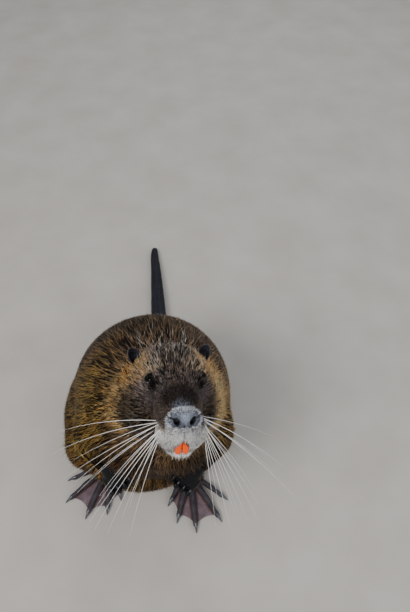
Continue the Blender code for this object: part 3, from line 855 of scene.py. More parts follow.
@dataclass
class BodyForm:
    """The fleshy form of the whole animal up to the tips of its coat, in metres."""

    half_width: float = 0.131
    half_depth: float = 0.121
    shoulder: dict = by_side((0.09, -0.118, 0.244), (-0.038, -0.116, 0.238))
    elbow: dict = by_side((0.106, -0.138, 0.184), (-0.072, -0.138, 0.178))
    wrist: dict = by_side((0.078, -0.179, 0.18), (-0.041, -0.177, 0.177))
    knuckles: dict = by_side((0.063, -0.192, 0.165), (-0.029, -0.191, 0.161))
    haunch: dict = by_side((0.065, -0.03, 0.088), (-0.086, -0.052, 0.082))
    knee: dict = by_side((0.008, 0.005), (0.028, 0.028))
    heel: dict = by_side((0.058, -0.099, 0.0), (-0.056, -0.086, 0.0))
    foot_turn: dict = by_side(math.radians(8.0), math.radians(21.0))
    # Nose, tip of the muzzle and crown, then whisker pads, brows, cheeks and sockets, in the head's frame.
    middle_balls: tuple = (((0, 0.01, 0.0015), (0.0165, 0.009, 0.011)),
                           ((0, 0.0062, -0.0012), (0.0158, 0.0088, 0.0122)),
                           ((0, 0.094, 0.014), (0.033, 0.044, 0.024)))
    paired_balls: tuple = (((0.0125, 0.0185, -0.0195), (0.0145, 0.0155, 0.0165)),
                           ((0.019, 0.064, 0.0195), (0.0115, 0.02, 0.0115)),
                           ((0.03, 0.088, -0.024), (0.024, 0.03, 0.029)),
                           ((0.0258, 0.06, 0.0232), (0.0104, 0.0126, 0.0106)))
    voxel: float = 0.0029

    def ahead(self, side: Side) -> Array:
        """The level direction in which a foot points."""
        return np.array((side.value * math.sin(self.foot_turn[side]), -math.cos(self.foot_turn[side]), 0))

    def _trunk(self, shapes: Shapes) -> None:
        """Pear-shaped trunk that leans forward, with the low belly and the chest.

        Args:
            shapes: where the shapes are gathered.
        """
        w, d = self.half_width, self.half_depth
        shapes.sweep([
            (0.0, 0.052, 0.04, 0.46 * w, 0.32 * d), (0.0, 0.026, 0.074, 0.8 * w, 0.64 * d),
            (0.003, -0.022, 0.114, 0.93 * w, 0.92 * d), (0.011, -0.059, 0.158, 0.92 * w, 1.0 * d),
            (0.023, -0.088, 0.206, 0.83 * w, 0.95 * d), (0.037, -0.108, 0.25, 0.7 * w, 0.79 * d),
            (0.045, -0.121, 0.286, 0.57 * w, 0.62 * d), (0.049, -0.126, 0.312, 0.44 * w, 0.46 * d)], sides=56)
        shapes.ball((-0.01, -0.1, 0.09), (0.11, 0.092, 0.084))
        shapes.ball((0.026, -0.118, 0.196), (0.078, 0.05, 0.07))
        shapes.ball((0.0, 0.012, 0.05), (0.078, 0.056, 0.054))
        shapes.ball((-0.07, -0.058, 0.132), (0.056, 0.058, 0.066))

    def _leg(self, shapes: Shapes, side: Side) -> None:
        """Haunch, folded knee and the furred shank above the foot.

        Args:
            shapes: where the shapes are gathered.
            side: the side of the animal.
        """
        s, heel, ahead = side.value, np.array(self.heel[side]), self.ahead(side)
        forward, out = self.knee[side]
        knee = heel + ahead * forward + (s * out, 0, 0.076)
        ankle = heel + ahead * 0.014 + (0, 0, 0.03)
        shapes.sweep([(s * 0.056, 0.004, 0.074, 0.054, 0.062), (*self.haunch[side], 0.057, 0.073),
                      (*knee, 0.044, 0.046)])
        shapes.sweep([(*knee, 0.044, 0.046), (*ankle, 0.03, 0.036), (*(ankle + ahead * 0.03), 0.024, 0.022)])

    def _arm(self, shapes: Shapes, side: Side) -> None:
        """Upper arm and the furred forearm, folded against the chest.

        Args:
            shapes: where the shapes are gathered.
            side: the side of the animal.
        """
        shoulder, elbow, wrist = (np.array(v[side]) for v in (self.shoulder, self.elbow, self.wrist))
        middle = elbow + (wrist - elbow) * 0.8
        shapes.sweep([(*shoulder, 0.034, 0.038), (*elbow, 0.026, 0.03)])
        shapes.sweep([(*elbow, 0.026, 0.03), (*middle, 0.0165, 0.0172)])

    def _head(self, shapes: Shapes) -> None:
        """Long deep skull with a blunt muzzle, full cheeks and a short throat.

        Args:
            shapes: where the shapes are gathered.
        """
        across = tuple(HEAD.turn @ (1, 0, 0))
        shapes.sweep(HEAD.stations([
            (0, 0.016, -0.011, 0.0215, 0.024), (0, 0.034, -0.0092, 0.0255, 0.0292),
            (0, 0.056, -0.005, 0.0305, 0.035), (0, 0.082, -0.006, 0.039, 0.041),
            (0, 0.108, -0.009, 0.045, 0.044), (0, 0.13, -0.014, 0.044, 0.043)]), across, power=2.3)
        shapes.sweep(HEAD.stations([
            (0, 0.022, -0.037, 0.016, 0.0115), (0, 0.045, -0.041, 0.021, 0.0165),
            (0, 0.08, -0.042, 0.032, 0.024)]), across)
        for centre, radii in self.middle_balls:
            shapes.ball(HEAD.at(*centre), radii, HEAD.turn)
        for s in (1, -1):
            for (x, back, up), radii in self.paired_balls:
                shapes.ball(HEAD.at(s * x, back, up), radii, HEAD.turn)
        shapes.sweep([(*HEAD.at(0, 0.128, -0.018), 0.045, 0.043), (*HEAD.at(0, 0.162, -0.044), 0.06, 0.056)])
        shapes.sweep([(*HEAD.at(0, 0.092, -0.042), 0.04, 0.032), (*HEAD.at(0, 0.13, -0.082), 0.058, 0.044)])

    def build(self) -> bpy.types.Object:
        """The form out to the tips of the coat, as one closed mesh.

        Returns:
            The form's object.
        """
        shapes = Shapes()
        self._trunk(shapes)
        self._head(shapes)
        for side in Side:
            self._leg(shapes, side)
            self._arm(shapes, side)
        return shapes.fused("skin", self.voxel, 5)


@dataclass
class EyePlace:
    """Where an eye lies in the head, and how far its lids open, in metres and degrees."""

    centre: tuple = (0.0263, 0.0597, 0.0241)
    radius: float = 0.0067
    gaze: tuple = (0.54, -0.53, 0.66)
    long_way: tuple = (0.3, 0.93, 0.2)
    open_long: dict = by_side(50.0, 56.0)
    open_short: dict = by_side(23.0, 34.0)
    lid_gap: float = 0.0003
    lid_thickness: float = 0.0012
    socket: float = 0.72

    def frame(self, side: Side) -> tuple:
        """Centre in the model's frame, and the eye's outward, long and short directions.

        Args:
            side: the side of the animal.

        Returns:
            The centre and the three directions.
        """
        mirror = np.array((side.value, 1, 1))
        centre = HEAD.at(*(np.array(self.centre) * mirror))
        gaze = HEAD.turn @ unit(np.array(self.gaze) * mirror)
        long = HEAD.turn @ (np.array(self.long_way) * mirror)
        long = unit(long - gaze * (long @ gaze))
        return centre, gaze, long, np.cross(gaze, long)


@dataclass
class Tones:
    """Root colour, tip colour and share of lit tips, with a row for each point."""

    base: Array
    tip: Array
    share: Array

    @classmethod
    def even(cls, count: int, root: tuple, lit: tuple, share: float) -> "Tones":
        """The same tones at a number of points."""
        return cls(np.tile(root, (count, 1)), np.tile(lit, (count, 1)), np.full(count, share))

    def lay(self, mask: Array, root: Array, lit: Array, share: Array) -> None:
        """Lays other tones over these, as far as a mask says.

        Args:
            mask: 1 where the new tones cover the old, 0 where they don't.
            root: the new root colour, one or a row for each point.
            lit: the new tip colour.
            share: the new share of lit tips.
        """
        self.base = self.base + (np.asarray(root) - self.base) * mask[:, None]
        self.tip = self.tip + (np.asarray(lit) - self.tip) * mask[:, None]
        self.share = self.share + (share - self.share) * mask


@dataclass
class Markings:
    """Colours and coat measures as smooth functions of the place on the body.

    A patch is a row of its mask's function, middle, half sizes, soft edge, root colour, tip colour and share of lit
    tips, in the head's frame.
    """

    body_depth: float = 0.0125
    fur_patches: tuple = (
        # The gold ruff behind the cheeks, with painted light that makes the left one brighter, and the dark cheeks.
        (pair, (0.052, 0.11, -0.02), (0.032, 0.048, 0.056), 0.35, (0.008, 0.0058, 0.0042), (0.64, 0.43, 0.18),
         0.42),
        # Painted light: the ruff on the left side only, made brighter.
        (blob, (0.054, 0.096, -0.01), (0.032, 0.046, 0.046), 0.95, (0.015, 0.0105, 0.0075), (0.92, 0.64, 0.32),
         0.62),
        (blob, (-0.041, 0.072, -0.022), (0.028, 0.038, 0.032), 0.35, (0.005, 0.0046, 0.0048), (0.2, 0.15, 0.1),
         0.16),
        (blob, (0.029, 0.068, -0.022), (0.022, 0.034, 0.03), 0.35, (0.005, 0.0046, 0.0048), (0.2, 0.15, 0.1),
         0.16),
        # Round the eyes, and over the crown.
        (pair, (0.02, 0.058, 0.012), (0.02, 0.026, 0.022), 0.35, (0.02, 0.016, 0.0175), (0.185, 0.15, 0.145), 0.36),
        (blob, (0, 0.11, 0.034), (0.036, 0.062, 0.034), 0.5, (0.013, 0.0092, 0.0085), (0.25, 0.19, 0.155), 0.16),
        # Tan before the ears and orange under them.
        (pair, (0.033, 0.096, 0.028), (0.011, 0.027, 0.017), 0.6, (0.018, 0.011, 0.007), (0.86, 0.56, 0.28), 0.56),
        (pair, (0.049, 0.104, 0.016), (0.013, 0.015, 0.012), 0.7, (0.02, 0.01, 0.006), (0.8, 0.38, 0.095), 0.42),
        # Dark nose bridge, a tear line and painted shadow at the eyes' inner corners, pale brows, frost above the
        # nose.
        (blob, (0, 0.029, 0.014), (0.019, 0.015, 0.013), 0.35, (0.006, 0.005, 0.005), (0.06, 0.045, 0.04), 0.25),
        # Painted shadow with a dark tear line: near black at the inner corner of each eye.
        (pair, (0.0225, 0.0505, 0.0195), (0.004, 0.0055, 0.0055), 0.6, (0.002, 0.002, 0.002), (0.02, 0.016, 0.015),
         0.1),
        (pair, (0.022, 0.07, 0.031), (0.009, 0.011, 0.007), 0.6, (0.016, 0.012, 0.01), (0.62, 0.49, 0.34), 0.22),
        (blob, (0, 0.0135, 0.01), (0.008, 0.0085, 0.006), 0.8, (0.01, 0.011, 0.014), (0.34, 0.37, 0.44), 0.26),
    )
    lip_patches: tuple = (
        # Under the nose, round the nose and on the chin.
        (blob, (0, 0.002, -0.013), (0.012, 0.012, 0.0085), 0.5, (0.42, 0.415, 0.415), (0.98, 0.975, 0.97), 0.92),
        (blob, (0, 0.003, -0.004), (0.0185, 0.0062, 0.0105), 0.25, (0.09, 0.1, 0.12), (0.82, 0.84, 0.88), 0.62),
        (blob, (0, 0.016, -0.05), (0.019, 0.024, 0.012), 0.35, (0.22, 0.185, 0.125), (0.93, 0.84, 0.63), 0.8),
    )

    @staticmethod
    def head_mask(points: Array) -> Array:
        """1 over the head, falling to 0 on the neck and the throat."""
        local = HEAD.local(points)
        return soft(local[:, 1], 0.15, 0.105) * soft(local[:, 2], -0.095, -0.06)

    @staticmethod
    def depth(points: Array, form: BodyForm) -> Array:
        """Depth of the coat: how far the skin lies inside the outer form.

        Args:
            points: positions as rows.
            form: the body.

        Returns:
            The depth at each point.
        """
        local = HEAD.local(points)
        head = Markings.head_mask(points)
        deep = 0.0015 + 0.0055 * soft(local[:, 1], 0.03, 0.13)
        deep = deep + (0.0016 - deep) * pair(local, (0.0262, 0.0595, 0.024), (0.013, 0.013, 0.013), 0.3)
        deep = Markings.body_depth + (deep - Markings.body_depth) * head * soft(local[:, 1], 0.175, 0.11)
        for side in Side:
            foot = np.array(form.heel[side]) + form.ahead(side) * 0.05
            for place, stretch, far, near, bare, share in (
                    (form.wrist[side], 1.0, 0.06, 0.024, 0.002, 1.0),
                    (form.elbow[side], 1.0, 0.055, 0.03, 0.0065, 0.8), (foot, 1.3, 0.052, 0.026, 0.003, 1.0)):
                off = np.linalg.norm((points - np.array(place)) * (1, 1, stretch), axis=1)
                deep = deep + (bare - deep) * soft(off, far, near) * share
        return deep

    @staticmethod
    def colours(points: Array) -> Tones:
        """Root colour, tip colour and share of lit tips at each point.

        Args:
            points: positions as rows.

        Returns:
            The tones at each point.
        """
        x, y, z = points.T

        # Body: gold on dark brown flanks, a darker back and nape, rust on the low belly, painted shade on the low
        # flanks and wrists.
        coat = Tones.even(len(points), (0.0054, 0.0035, 0.0025), (0.52, 0.335, 0.09), 0.19)
        nape = soft(np.abs(x - 0.045), 0.09, 0.045) * soft(z, 0.225, 0.29) * soft(y, -0.165, -0.125)
        coat.lay(np.maximum(soft(y, -0.105, -0.03) * soft(z, 0.02, 0.09), nape), (0.006, 0.0042, 0.0034),
                 (0.33, 0.215, 0.12), 0.1)
        coat.lay(soft(z, 0.175, 0.07) * soft(y, -0.1, -0.15), (0.008, 0.004, 0.0026),
                 (0.26, 0.12, 0.038), 0.14)
        # Painted shade: the low flanks and haunches darker towards the floor.
        coat.lay(soft(z, 0.15, 0.08) * soft(np.abs(x), 0.05, 0.1), (0.0046, 0.0031, 0.0024),
                 (0.4, 0.245, 0.07), 0.11)
        coat.lay(soft(np.abs(x - 0.03), 0.075, 0.035) * soft(y, -0.12, -0.165) * soft(z, 0.11, 0.17),
                 (0.007, 0.0048, 0.0038), (0.2, 0.11, 0.05), 0.16)
        # Painted shade: near-black coat round the tucked wrists, between the arms and the chest under the head.
        for side, far in ((Side.LEFT, 0.078), (Side.RIGHT, 0.06)):
            near = soft(distance(points, BodyForm().wrist[side]), far, 0.5 * far)
            coat.lay(near, (0.003, 0.0026, 0.0025), (0.06, 0.038, 0.022), 0.08)

        # Head: grizzled grey-brown, with its patches, a white muzzle and a brown throat.
        local = HEAD.local(points)
        face = Tones.even(len(points), (0.0085, 0.007, 0.007), (0.19, 0.145, 0.12), 0.38)
        for mask, *place, root, lit, share in Markings.fur_patches:
            face.lay(mask(local, *place), root, lit, share)
        face.lay(soft(local[:, 1], 0.034, 0.016) * soft(local[:, 2], -0.004, -0.014), (0.23, 0.22, 0.22),
                 (0.96, 0.955, 0.95), 0.84)
        for mask, *place, root, lit, share in Markings.lip_patches:
            face.lay(mask(local, *place), root, lit, share)
        face.lay(soft(local[:, 2], -0.048, -0.06) * soft(local[:, 1], 0.026, 0.042), (0.02, 0.014, 0.011),
                 (0.28, 0.18, 0.09), 0.3)
        coat.lay(Markings.head_mask(points), face.base, face.tip, face.share)
        return coat

    @staticmethod
    def lengths(points: Array, depth: Array) -> Array:
        """Length of the coat's tufts at each point.

        Args:
            points: positions as rows.
            depth: the coat's depth there.

        Returns:
            The length at each point.
        """
        local = HEAD.local(points)
        head = Markings.head_mask(points)
        on_head = 0.0042 + 0.0135 * soft(local[:, 1], 0.02, 0.095)
        crown = soft(local[:, 1], 0.07, 0.12) * soft(local[:, 2], 0.0, 0.025)
        ruff = pair(local, (0.052, 0.1, -0.015), (0.024, 0.045, 0.045))
        chin = soft(local[:, 1], 0.05, 0.02) * soft(local[:, 2], -0.012, -0.026)
        ears = pair(local, (0.036, 0.104, 0.028), (0.015, 0.016, 0.016))
        beard = blob(local, (0, 0.018, -0.048), (0.018, 0.02, 0.013))
        on_head = on_head + 0.019 * crown + 0.007 * ruff + 0.0105 * chin + 0.011 * ears * (1 - crown) + 0.005 * beard
        body = 0.036 * np.clip(depth / Markings.body_depth, 0.0, 1.0) ** 0.8 + 0.002
        return body + (on_head - body) * head


@dataclass
class Skin:
    """The one skin under the coat, with its folds, lids and lips."""

    form: BodyForm
    eye: EyePlace
    finishes: Finishes
    floor_gap: float = 0.003
    lid_reach: float = 0.014
    mouth: tuple = (-0.001, 0.0022, -0.03)
    mouth_radii: tuple = (0.009, 0.0084, 0.0132)
    nodes: tuple = ("trunk", "neck", "head", "lower_jaw", "haunch_left", "haunch_right",
                    "foreleg_left", "foreleg_right")
    thing: bpy.types.Object = None
    depth: Array = None
    bare: Array = None

    def _refine(self, mesh: bpy.types.Mesh, wanted: Array) -> None:
        """Splits the edges of the skin whose two ends are wanted."""
        with editing(mesh) as bm:
            edges = [e for e in bm.edges if wanted[e.verts[0].index] and wanted[e.verts[1].index]]
            bmesh.ops.subdivide_edges(bm, edges=edges, cuts=1, use_grid_fill=True)

    def _open_mouth(self, local: Array) -> Array:
        """Draws the front of the lips back round the incisors.

        Args:
            local: the skin's points in the head's frame.

        Returns:
            The moved points.
        """
        off = (local - np.array(self.mouth)) / np.array(self.mouth_radii)
        off[:, 0] /= 0.26 + 0.74 * soft(local[:, 2], -0.019, -0.036)
        reach = np.sqrt(np.maximum(0.0, 1 - off[:, 0] ** 2 - off[:, 2] ** 2))
        wall = self.mouth[1] + self.mouth_radii[1] * reach
        inside = (np.linalg.norm(off, axis=1) < 1) | ((reach > 0.05) & (local[:, 1] < wall) & (off[:, 1] < 0))
        local = local.copy()
        local[inside, 1] = wall[inside]
        return local

    def _sculpt_head(self, local: Array) -> Array:
        """Folds of the face: the cleft lip, corners of the mouth, whisker pads, and folds and groove of the snout.

        Args:
            local: the skin's points in the head's frame.

        Returns:
            The moved points.
        """
        x, back, up = local.T
        cleft = np.exp(-(x / 0.0022) ** 2) * soft(back, 0.016, 0.004) * soft(up, -0.004, -0.01)
        local[:, 1] += 0.0028 * cleft
        mouth_line = np.exp(-((up + 0.0325 - 0.1 * (back - 0.02)) / 0.0022) ** 2)
        mouth_line *= soft(back, 0.004, 0.01) * soft(back, 0.052, 0.04)
        local[:, 0] -= np.sign(x) * 0.003 * mouth_line
        pads = pair(local, (0.0215, 0.02, -0.016), (0.011, 0.013, 0.01), 0.6)
        local[:, 0] += np.sign(x) * 0.0016 * pads
        for back_row in (0.03, 0.036, 0.0425):
            fold = np.exp(-((back - back_row - 0.2 * np.abs(x)) / 0.0014) ** 2) * soft(up, -0.004, 0.01)
            local[:, 2] -= 0.0005 * fold
        groove = np.exp(-(x / 0.006) ** 2) * soft(back, 0.04, 0.06) * soft(back, 0.1, 0.075) * soft(up, 0.0, 0.01)
        local[:, 2] -= 0.0018 * groove
        return local

    def _lids(self, points: Array) -> tuple:
        """Wraps the skin round each eye.

        Args:
            points: the skin's points.

        Returns:
            The moved points and a mask of the bare rim of the lids.
        """
        bare = np.zeros(len(points))
        for side in Side:
            centre, gaze, long, short = self.eye.frame(side)
            off = points - centre
            far = np.linalg.norm(off, axis=1)
            way = off / np.maximum(far, 1e-9)[:, None]
            polar = np.degrees(np.arccos(np.clip(way @ gaze, -1, 1)))
            turn = np.arctan2(way @ short, way @ long)
            wide, high = self.eye.open_long[side], self.eye.open_short[side]
            opening = 1 / np.sqrt((np.cos(turn) / wide) ** 2 + (np.sin(turn) / high) ** 2)
            past = polar - opening
            r, gap, thick = self.eye.radius, self.eye.lid_gap, self.eye.lid_thickness
            lid = r + (gap + thick - 0.0002) * soft(past, -3.0, 5.0)
            lid = np.where(past < -3.0, r * self.eye.socket, lid)
            lid = np.where((past >= -3.0) & (past < 4.0), r + gap + thick * soft(past, -3.0, 4.0), lid)
            near = soft(past, 46.0, 12.0) * soft(far, 0.02, 0.013)
            level = far + (lid - far) * near
            fold = np.exp(-((past - 17.0) / 5.0) ** 2) * 0.0007 * near
            points = centre + way * (level - fold)[:, None]
            points = np.where((polar < 110)[:, None] & (near > 0)[:, None], points, centre + off)
            bare = np.maximum(bare, soft(past, 10.0, 6.0) * (near > 0.05) * (polar < 110))
        return points, bare

    def build(self) -> None:
        """Makes the skin, its markings and its bake map."""
        made = self.form.build()
        mesh = made.data
        for centre, reach in (((0, 0.045, -0.01), 0.062), ((0, 0.022, -0.01), 0.04)):
            self._refine(mesh, distance(HEAD.local(points_of(mesh)), centre) < reach)
        for side in Side:
            self._refine(mesh, distance(points_of(mesh), self.eye.frame(side)[0]) < self.lid_reach)
        edges = edges_of(mesh)
        points = averaged(points_of(mesh), edges, 3)
        set_points(mesh, points)
        depth = Markings.depth(points, self.form)
        points = points - averaged(normals_of(mesh), edges, 2) * depth[:, None]
        points = averaged(points, edges, 2)
        head = Markings.head_mask(points) > 0.5
        local = HEAD.local(points)
        shaped = self._sculpt_head(self._open_mouth(local.copy()))
        points[head] = HEAD.world(shaped[head])
        points, bare = self._lids(points)
        near_mouth = blob(HEAD.local(points), self.mouth, (0.016, 0.018, 0.02), 0.2) * head
        points = averaged(points, edges, 2, near_mouth)
        points[:, 2] = np.maximum(points[:, 2], self.floor_gap)
        set_points(mesh, points)
        self.depth = depth
        bare = np.maximum(bare, blob(HEAD.local(points), (0, 0.0012, 0.0034), (0.0128, 0.008, 0.0078), 0.15))
        lips = np.linalg.norm((HEAD.local(points) - np.array(self.mouth)) / np.array(self.mouth_radii), axis=1)
        self.bare = np.maximum(bare, soft(lips, 1.22, 1.08) * head)
        tones = Markings.colours(points)
        for name, values in (("base_colour", tones.base), ("tip_colour", tones.tip), ("share", tones.share),
                             ("bare", self.bare)):
            attribute(mesh, name, values)
        dress(made, self.finishes.skin)
        self._unwrap(made)
        self.thing = made
        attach(made, "root")
        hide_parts(*self.nodes)

    def _unwrap(self, made: bpy.types.Object) -> None:
        """Unwraps the skin along its own shape into the bake map.

        Args:
            made: the skin.
        """
        made.data.uv_layers.new(name="OFBake")
        bpy.context.view_layer.objects.active = made
        for other in bpy.context.selected_objects:
            other.select_set(False)
        made.select_set(True)
        bpy.ops.object.mode_set(mode="EDIT")
        bpy.ops.mesh.select_all(action="SELECT")
        bpy.ops.uv.smart_project(angle_limit=math.radians(66), island_margin=0.004)
        bpy.ops.object.mode_set(mode="OBJECT")


# ---------------- the coat

@dataclass
class Roots:
    """Tuft roots with what they need from the skin, as rows."""

    place: Array
    normal: Array
    flow: Array
    uv: Array
    values: dict

    def part(self, keep: Array) -> "Roots":
        """Only the rows that keep names."""
        return Roots(self.place[keep], self.normal[keep], self.flow[keep], self.uv[keep],
                     {name: rows[keep] for name, rows in self.values.items()})


@dataclass(frozen=True)
class TuftShape:
    """A tuft is a closed spindle: a point at the root, a ring of three where it bends, and the tip."""

    flat: float = 0.45
    patch: float = 0.003
    bend: float = 0.4

    def faces(self, count: int) -> Array:
        """Corners of every face of a number of tufts, as rows of three vertex numbers."""
        one = np.array([corners for k in range(3) for corners in
                        ((1 + k, 1 + (k + 1) % 3, 4), (1 + (k + 1) % 3, 1 + k, 0))])
        return (one[None] + 5 * np.arange(count)[:, None, None]).reshape(-1, 3)

    def corners(self) -> Array:
        """Place of every face corner of one tuft on its patch, from 0 to 1.

        Returns:
            A row for each corner.
        """
        rows = []
        for k in range(3):
            left, right, middle = k / 3, (k + 1) / 3, (k + 0.5) / 3
            rows += [(left, self.bend), (right, self.bend), (middle, 1.0)]
            rows += [(right, self.bend), (left, self.bend), (middle, 0.0)]
        return np.array(rows)


def tuft_mesh(name: str, spine: Array, width: Array, across: Array, roots: Roots,
              shape: TuftShape = TuftShape()) -> bpy.types.Object:
    """Solid tapering tufts, joined in one mesh.

    Args:
        name: the piece's name.
        spine: for each tuft, its root, bend and tip.
        width: for each tuft, its half width at the bend.
        across: for each tuft, the direction of its width.
        roots: the colours and map places of the roots.
        shape: the tuft's section.

    Returns:
        The new object, with its markings and bake map.
    """
    count = len(spine)
    points = np.empty((count, 5, 3))
    points[:, 0], points[:, 4] = spine[:, 0], spine[:, 2]
    way = unit(spine[:, 2] - spine[:, 0])
    u = unit(across - way * np.sum(across * way, axis=1, keepdims=True))
    v = np.cross(way, u)
    for k, angle in enumerate(np.radians((90, 210, 330))):
        points[:, 1 + k] = spine[:, 1] + (u * math.cos(angle) + v * shape.flat * math.sin(angle)) * width[:, None]
    points[..., 2] = np.maximum(points[..., 2], 0.0009 + 0.0002 * (np.arange(5) % 3))
    faces = shape.faces(count)
    mesh = bpy.data.meshes.new(name)
    mesh.vertices.add(count * 5)
    mesh.vertices.foreach_set("co", points.astype(np.float32).ravel())
    mesh.loops.add(faces.size)
    mesh.loops.foreach_set("vertex_index", faces.astype(np.int32).ravel())
    mesh.polygons.add(len(faces))
    mesh.polygons.foreach_set("loop_start", np.arange(0, faces.size, 3, dtype=np.int32))
    mesh.update(calc_edges=True)
    layer = mesh.uv_layers.new(name="OFBake")
    corners = (shape.corners() - 0.5) * shape.patch
    uv = np.clip(roots.uv[:, None] + corners[None], 0.0005, 0.9995)
    layer.data.foreach_set("uv", uv.astype(np.float32).ravel())
    for label in ("base_colour", "tip_colour", "share", "chance"):
        attribute(mesh, label, np.repeat(roots.values[label], 5, axis=0))
    attribute(mesh, "along", np.tile((0, shape.bend, shape.bend, shape.bend, 1.0), count))
    return placed(name, mesh)


@dataclass
class Coat:
    """Tufts rooted in the skin, which lie along the body and gather into locks."""

    skin: Skin
    form: BodyForm
    finishes: Finishes
    count: int = 240000
    most_in_piece: int = 32000
    lock_spacing: float = 0.0034
    strand_share: float = 0.04
    strand_colour: tuple = (0.56, 0.51, 0.45)
    cool_tint: tuple = (0.98, 1.07, 1.22)
    warm_tint: tuple = (1.04, 0.88, 0.7)
    loose_share: float = 0.22
    lit_length: tuple = (0.9, 1.25)
    dark_length: tuple = (0.6, 1.0)
    lit_rise: tuple = (0.82, 1.15)
    dark_rise: tuple = (0.3, 0.8)
    lit_width: tuple = (0.55, 0.95)
    dark_width: tuple = (0.9, 1.45)
    lock_pull: tuple = (0.25, 0.8)
    bend_at: float = 0.38
    root_depth: float = 0.0006
    face_back: float = 0.062
    back_facing: float = 0.15
    middle: float = 0.015
    seed: int = 11
    normals: Array = None
    face_normals: Array = None

    def _flow(self, points: Array, normals: Array, edges: Array) -> Array:
        """Lie of the coat: away from the nose on the head, and outward and down on the body.

        Args:
            points: the skin's points.
            normals: their normals.
            edges: the skin's edges.

        Returns:
            A direction along the skin for each point.
        """
        head = Markings.head_mask(points)[:, None]
        nose = HEAD.at(0, -0.012, 0.002)
        from_nose = unit(points - nose)
        chin = soft(HEAD.local(points)[:, 2], -0.004, -0.014) * soft(HEAD.local(points)[:, 1], 0.05, 0.026)
        from_nose = unit(from_nose + HEAD.turn @ (0, 0.1, -3.6) * chin[:, None])
        collar = HEAD.at(0, 0.105, -0.03)
        from_collar = unit(points - collar)
        body = unit(from_collar + np.array((0, 0.0, -0.38)))
        for side in Side:
            elbow, wrist = np.array(self.form.elbow[side]), np.array(self.form.wrist[side])
            near = soft(distance(points, (elbow + wrist) / 2), 0.05, 0.025)[:, None]
            body = body + (unit(wrist - elbow) - body) * near
        flow = body + (from_nose - body) * head
        flow = flow - normals * np.sum(flow * normals, axis=1, keepdims=True)
        flow = averaged(unit(flow), edges, 12)
        flow = flow - normals * np.sum(flow * normals, axis=1, keepdims=True)
        return unit(flow)

    def _roots(self) -> Roots:
        """Spreads the roots over the skin, closer where the tufts are small.

        Returns:
            The roots.
        """
        rng = np.random.default_rng(self.seed)
        mesh = self.skin.thing.data
        mesh.calc_loop_triangles()
        corner = rows_of(mesh.loop_triangles, "vertices", 3, np.int32)
        loop = rows_of(mesh.loop_triangles, "loops", 3, np.int32)
        points, edges = points_of(mesh), edges_of(mesh)
        normals = unit(averaged(normals_of(mesh), edges, 3))
        flow = self._flow(points, normals, edges)
        uv = rows_of(mesh.uv_layers["OFBake"].data, "uv", 2)
        head = Markings.head_mask(points)
        area = np.linalg.norm(np.cross(points[corner[:, 1]] - points[corner[:, 0]],
                                       points[corner[:, 2]] - points[corner[:, 0]]), axis=1) / 2
        hidden = soft(points[:, 2], 0.012, 0.006) * soft(normals[:, 2], -0.5, -0.8)
        keep = (1 - self.skin.bare) * (1 - 0.97 * hidden)
        tones = Markings.colours(points)
        length = Markings.lengths(points, self.skin.depth)
        closeness = np.minimum((0.036 / length) ** 1.15, 9.0)
        local = HEAD.local(points)
        closeness *= 1 - 0.3 * soft(local[:, 1], 0.046, 0.034) * soft(local[:, 2], -0.002, -0.012) * head
        density = (closeness * keep)[corner].mean(axis=1) * area
        steps = np.cumsum(density) / density.sum()
        picks = np.searchsorted(steps, (np.arange(self.count) + rng.random(self.count)) / self.count)
        picks = np.minimum(picks, len(corner) - 1)
        r1, r2 = np.sqrt(rng.random(self.count)), rng.random(self.count)
        share3 = np.stack([1 - r1, r1 * (1 - r2), r1 * r2], axis=1)
        rows = corner[picks]

        def at(values: Array) -> Array:
            """The vertices' values at the roots."""
            extra = (1,) * (np.ndim(values) - 1)
            return (values[rows] * share3.reshape(-1, 3, *extra)).sum(axis=1)

        self.normals = normals
        return Roots(at(points), unit(at(normals)), unit(at(flow)), (uv[loop[picks]] * share3[..., None]).sum(axis=1),
                     {"base_colour": at(tones.base), "tip_colour": at(tones.tip), "share": at(tones.share),
                      "length": at(length), "depth": at(self.skin.depth), "head": at(head),
                      "chance": rng.random(self.count)})

    def _follow(self, tree: BVHTree, start: Array, step: Array, height: Array) -> Array:
        """Points over the skin nearest to start + step, each at its height.

        Args:
            tree: the skin's faces.
            start: where each step begins.
            step: how far it goes.
            height: how high it ends.

        Returns:
            The end of each step.
        """
        ends = np.empty_like(start)
        goal = start + step
        for row in range(len(start)):
            place, _, face, _ = tree.find_nearest(goal[row])
            normal = self.face_normals[face]
            for axis in range(3):
                ends[row, axis] = place[axis] + normal[axis] * height[row]
        return ends

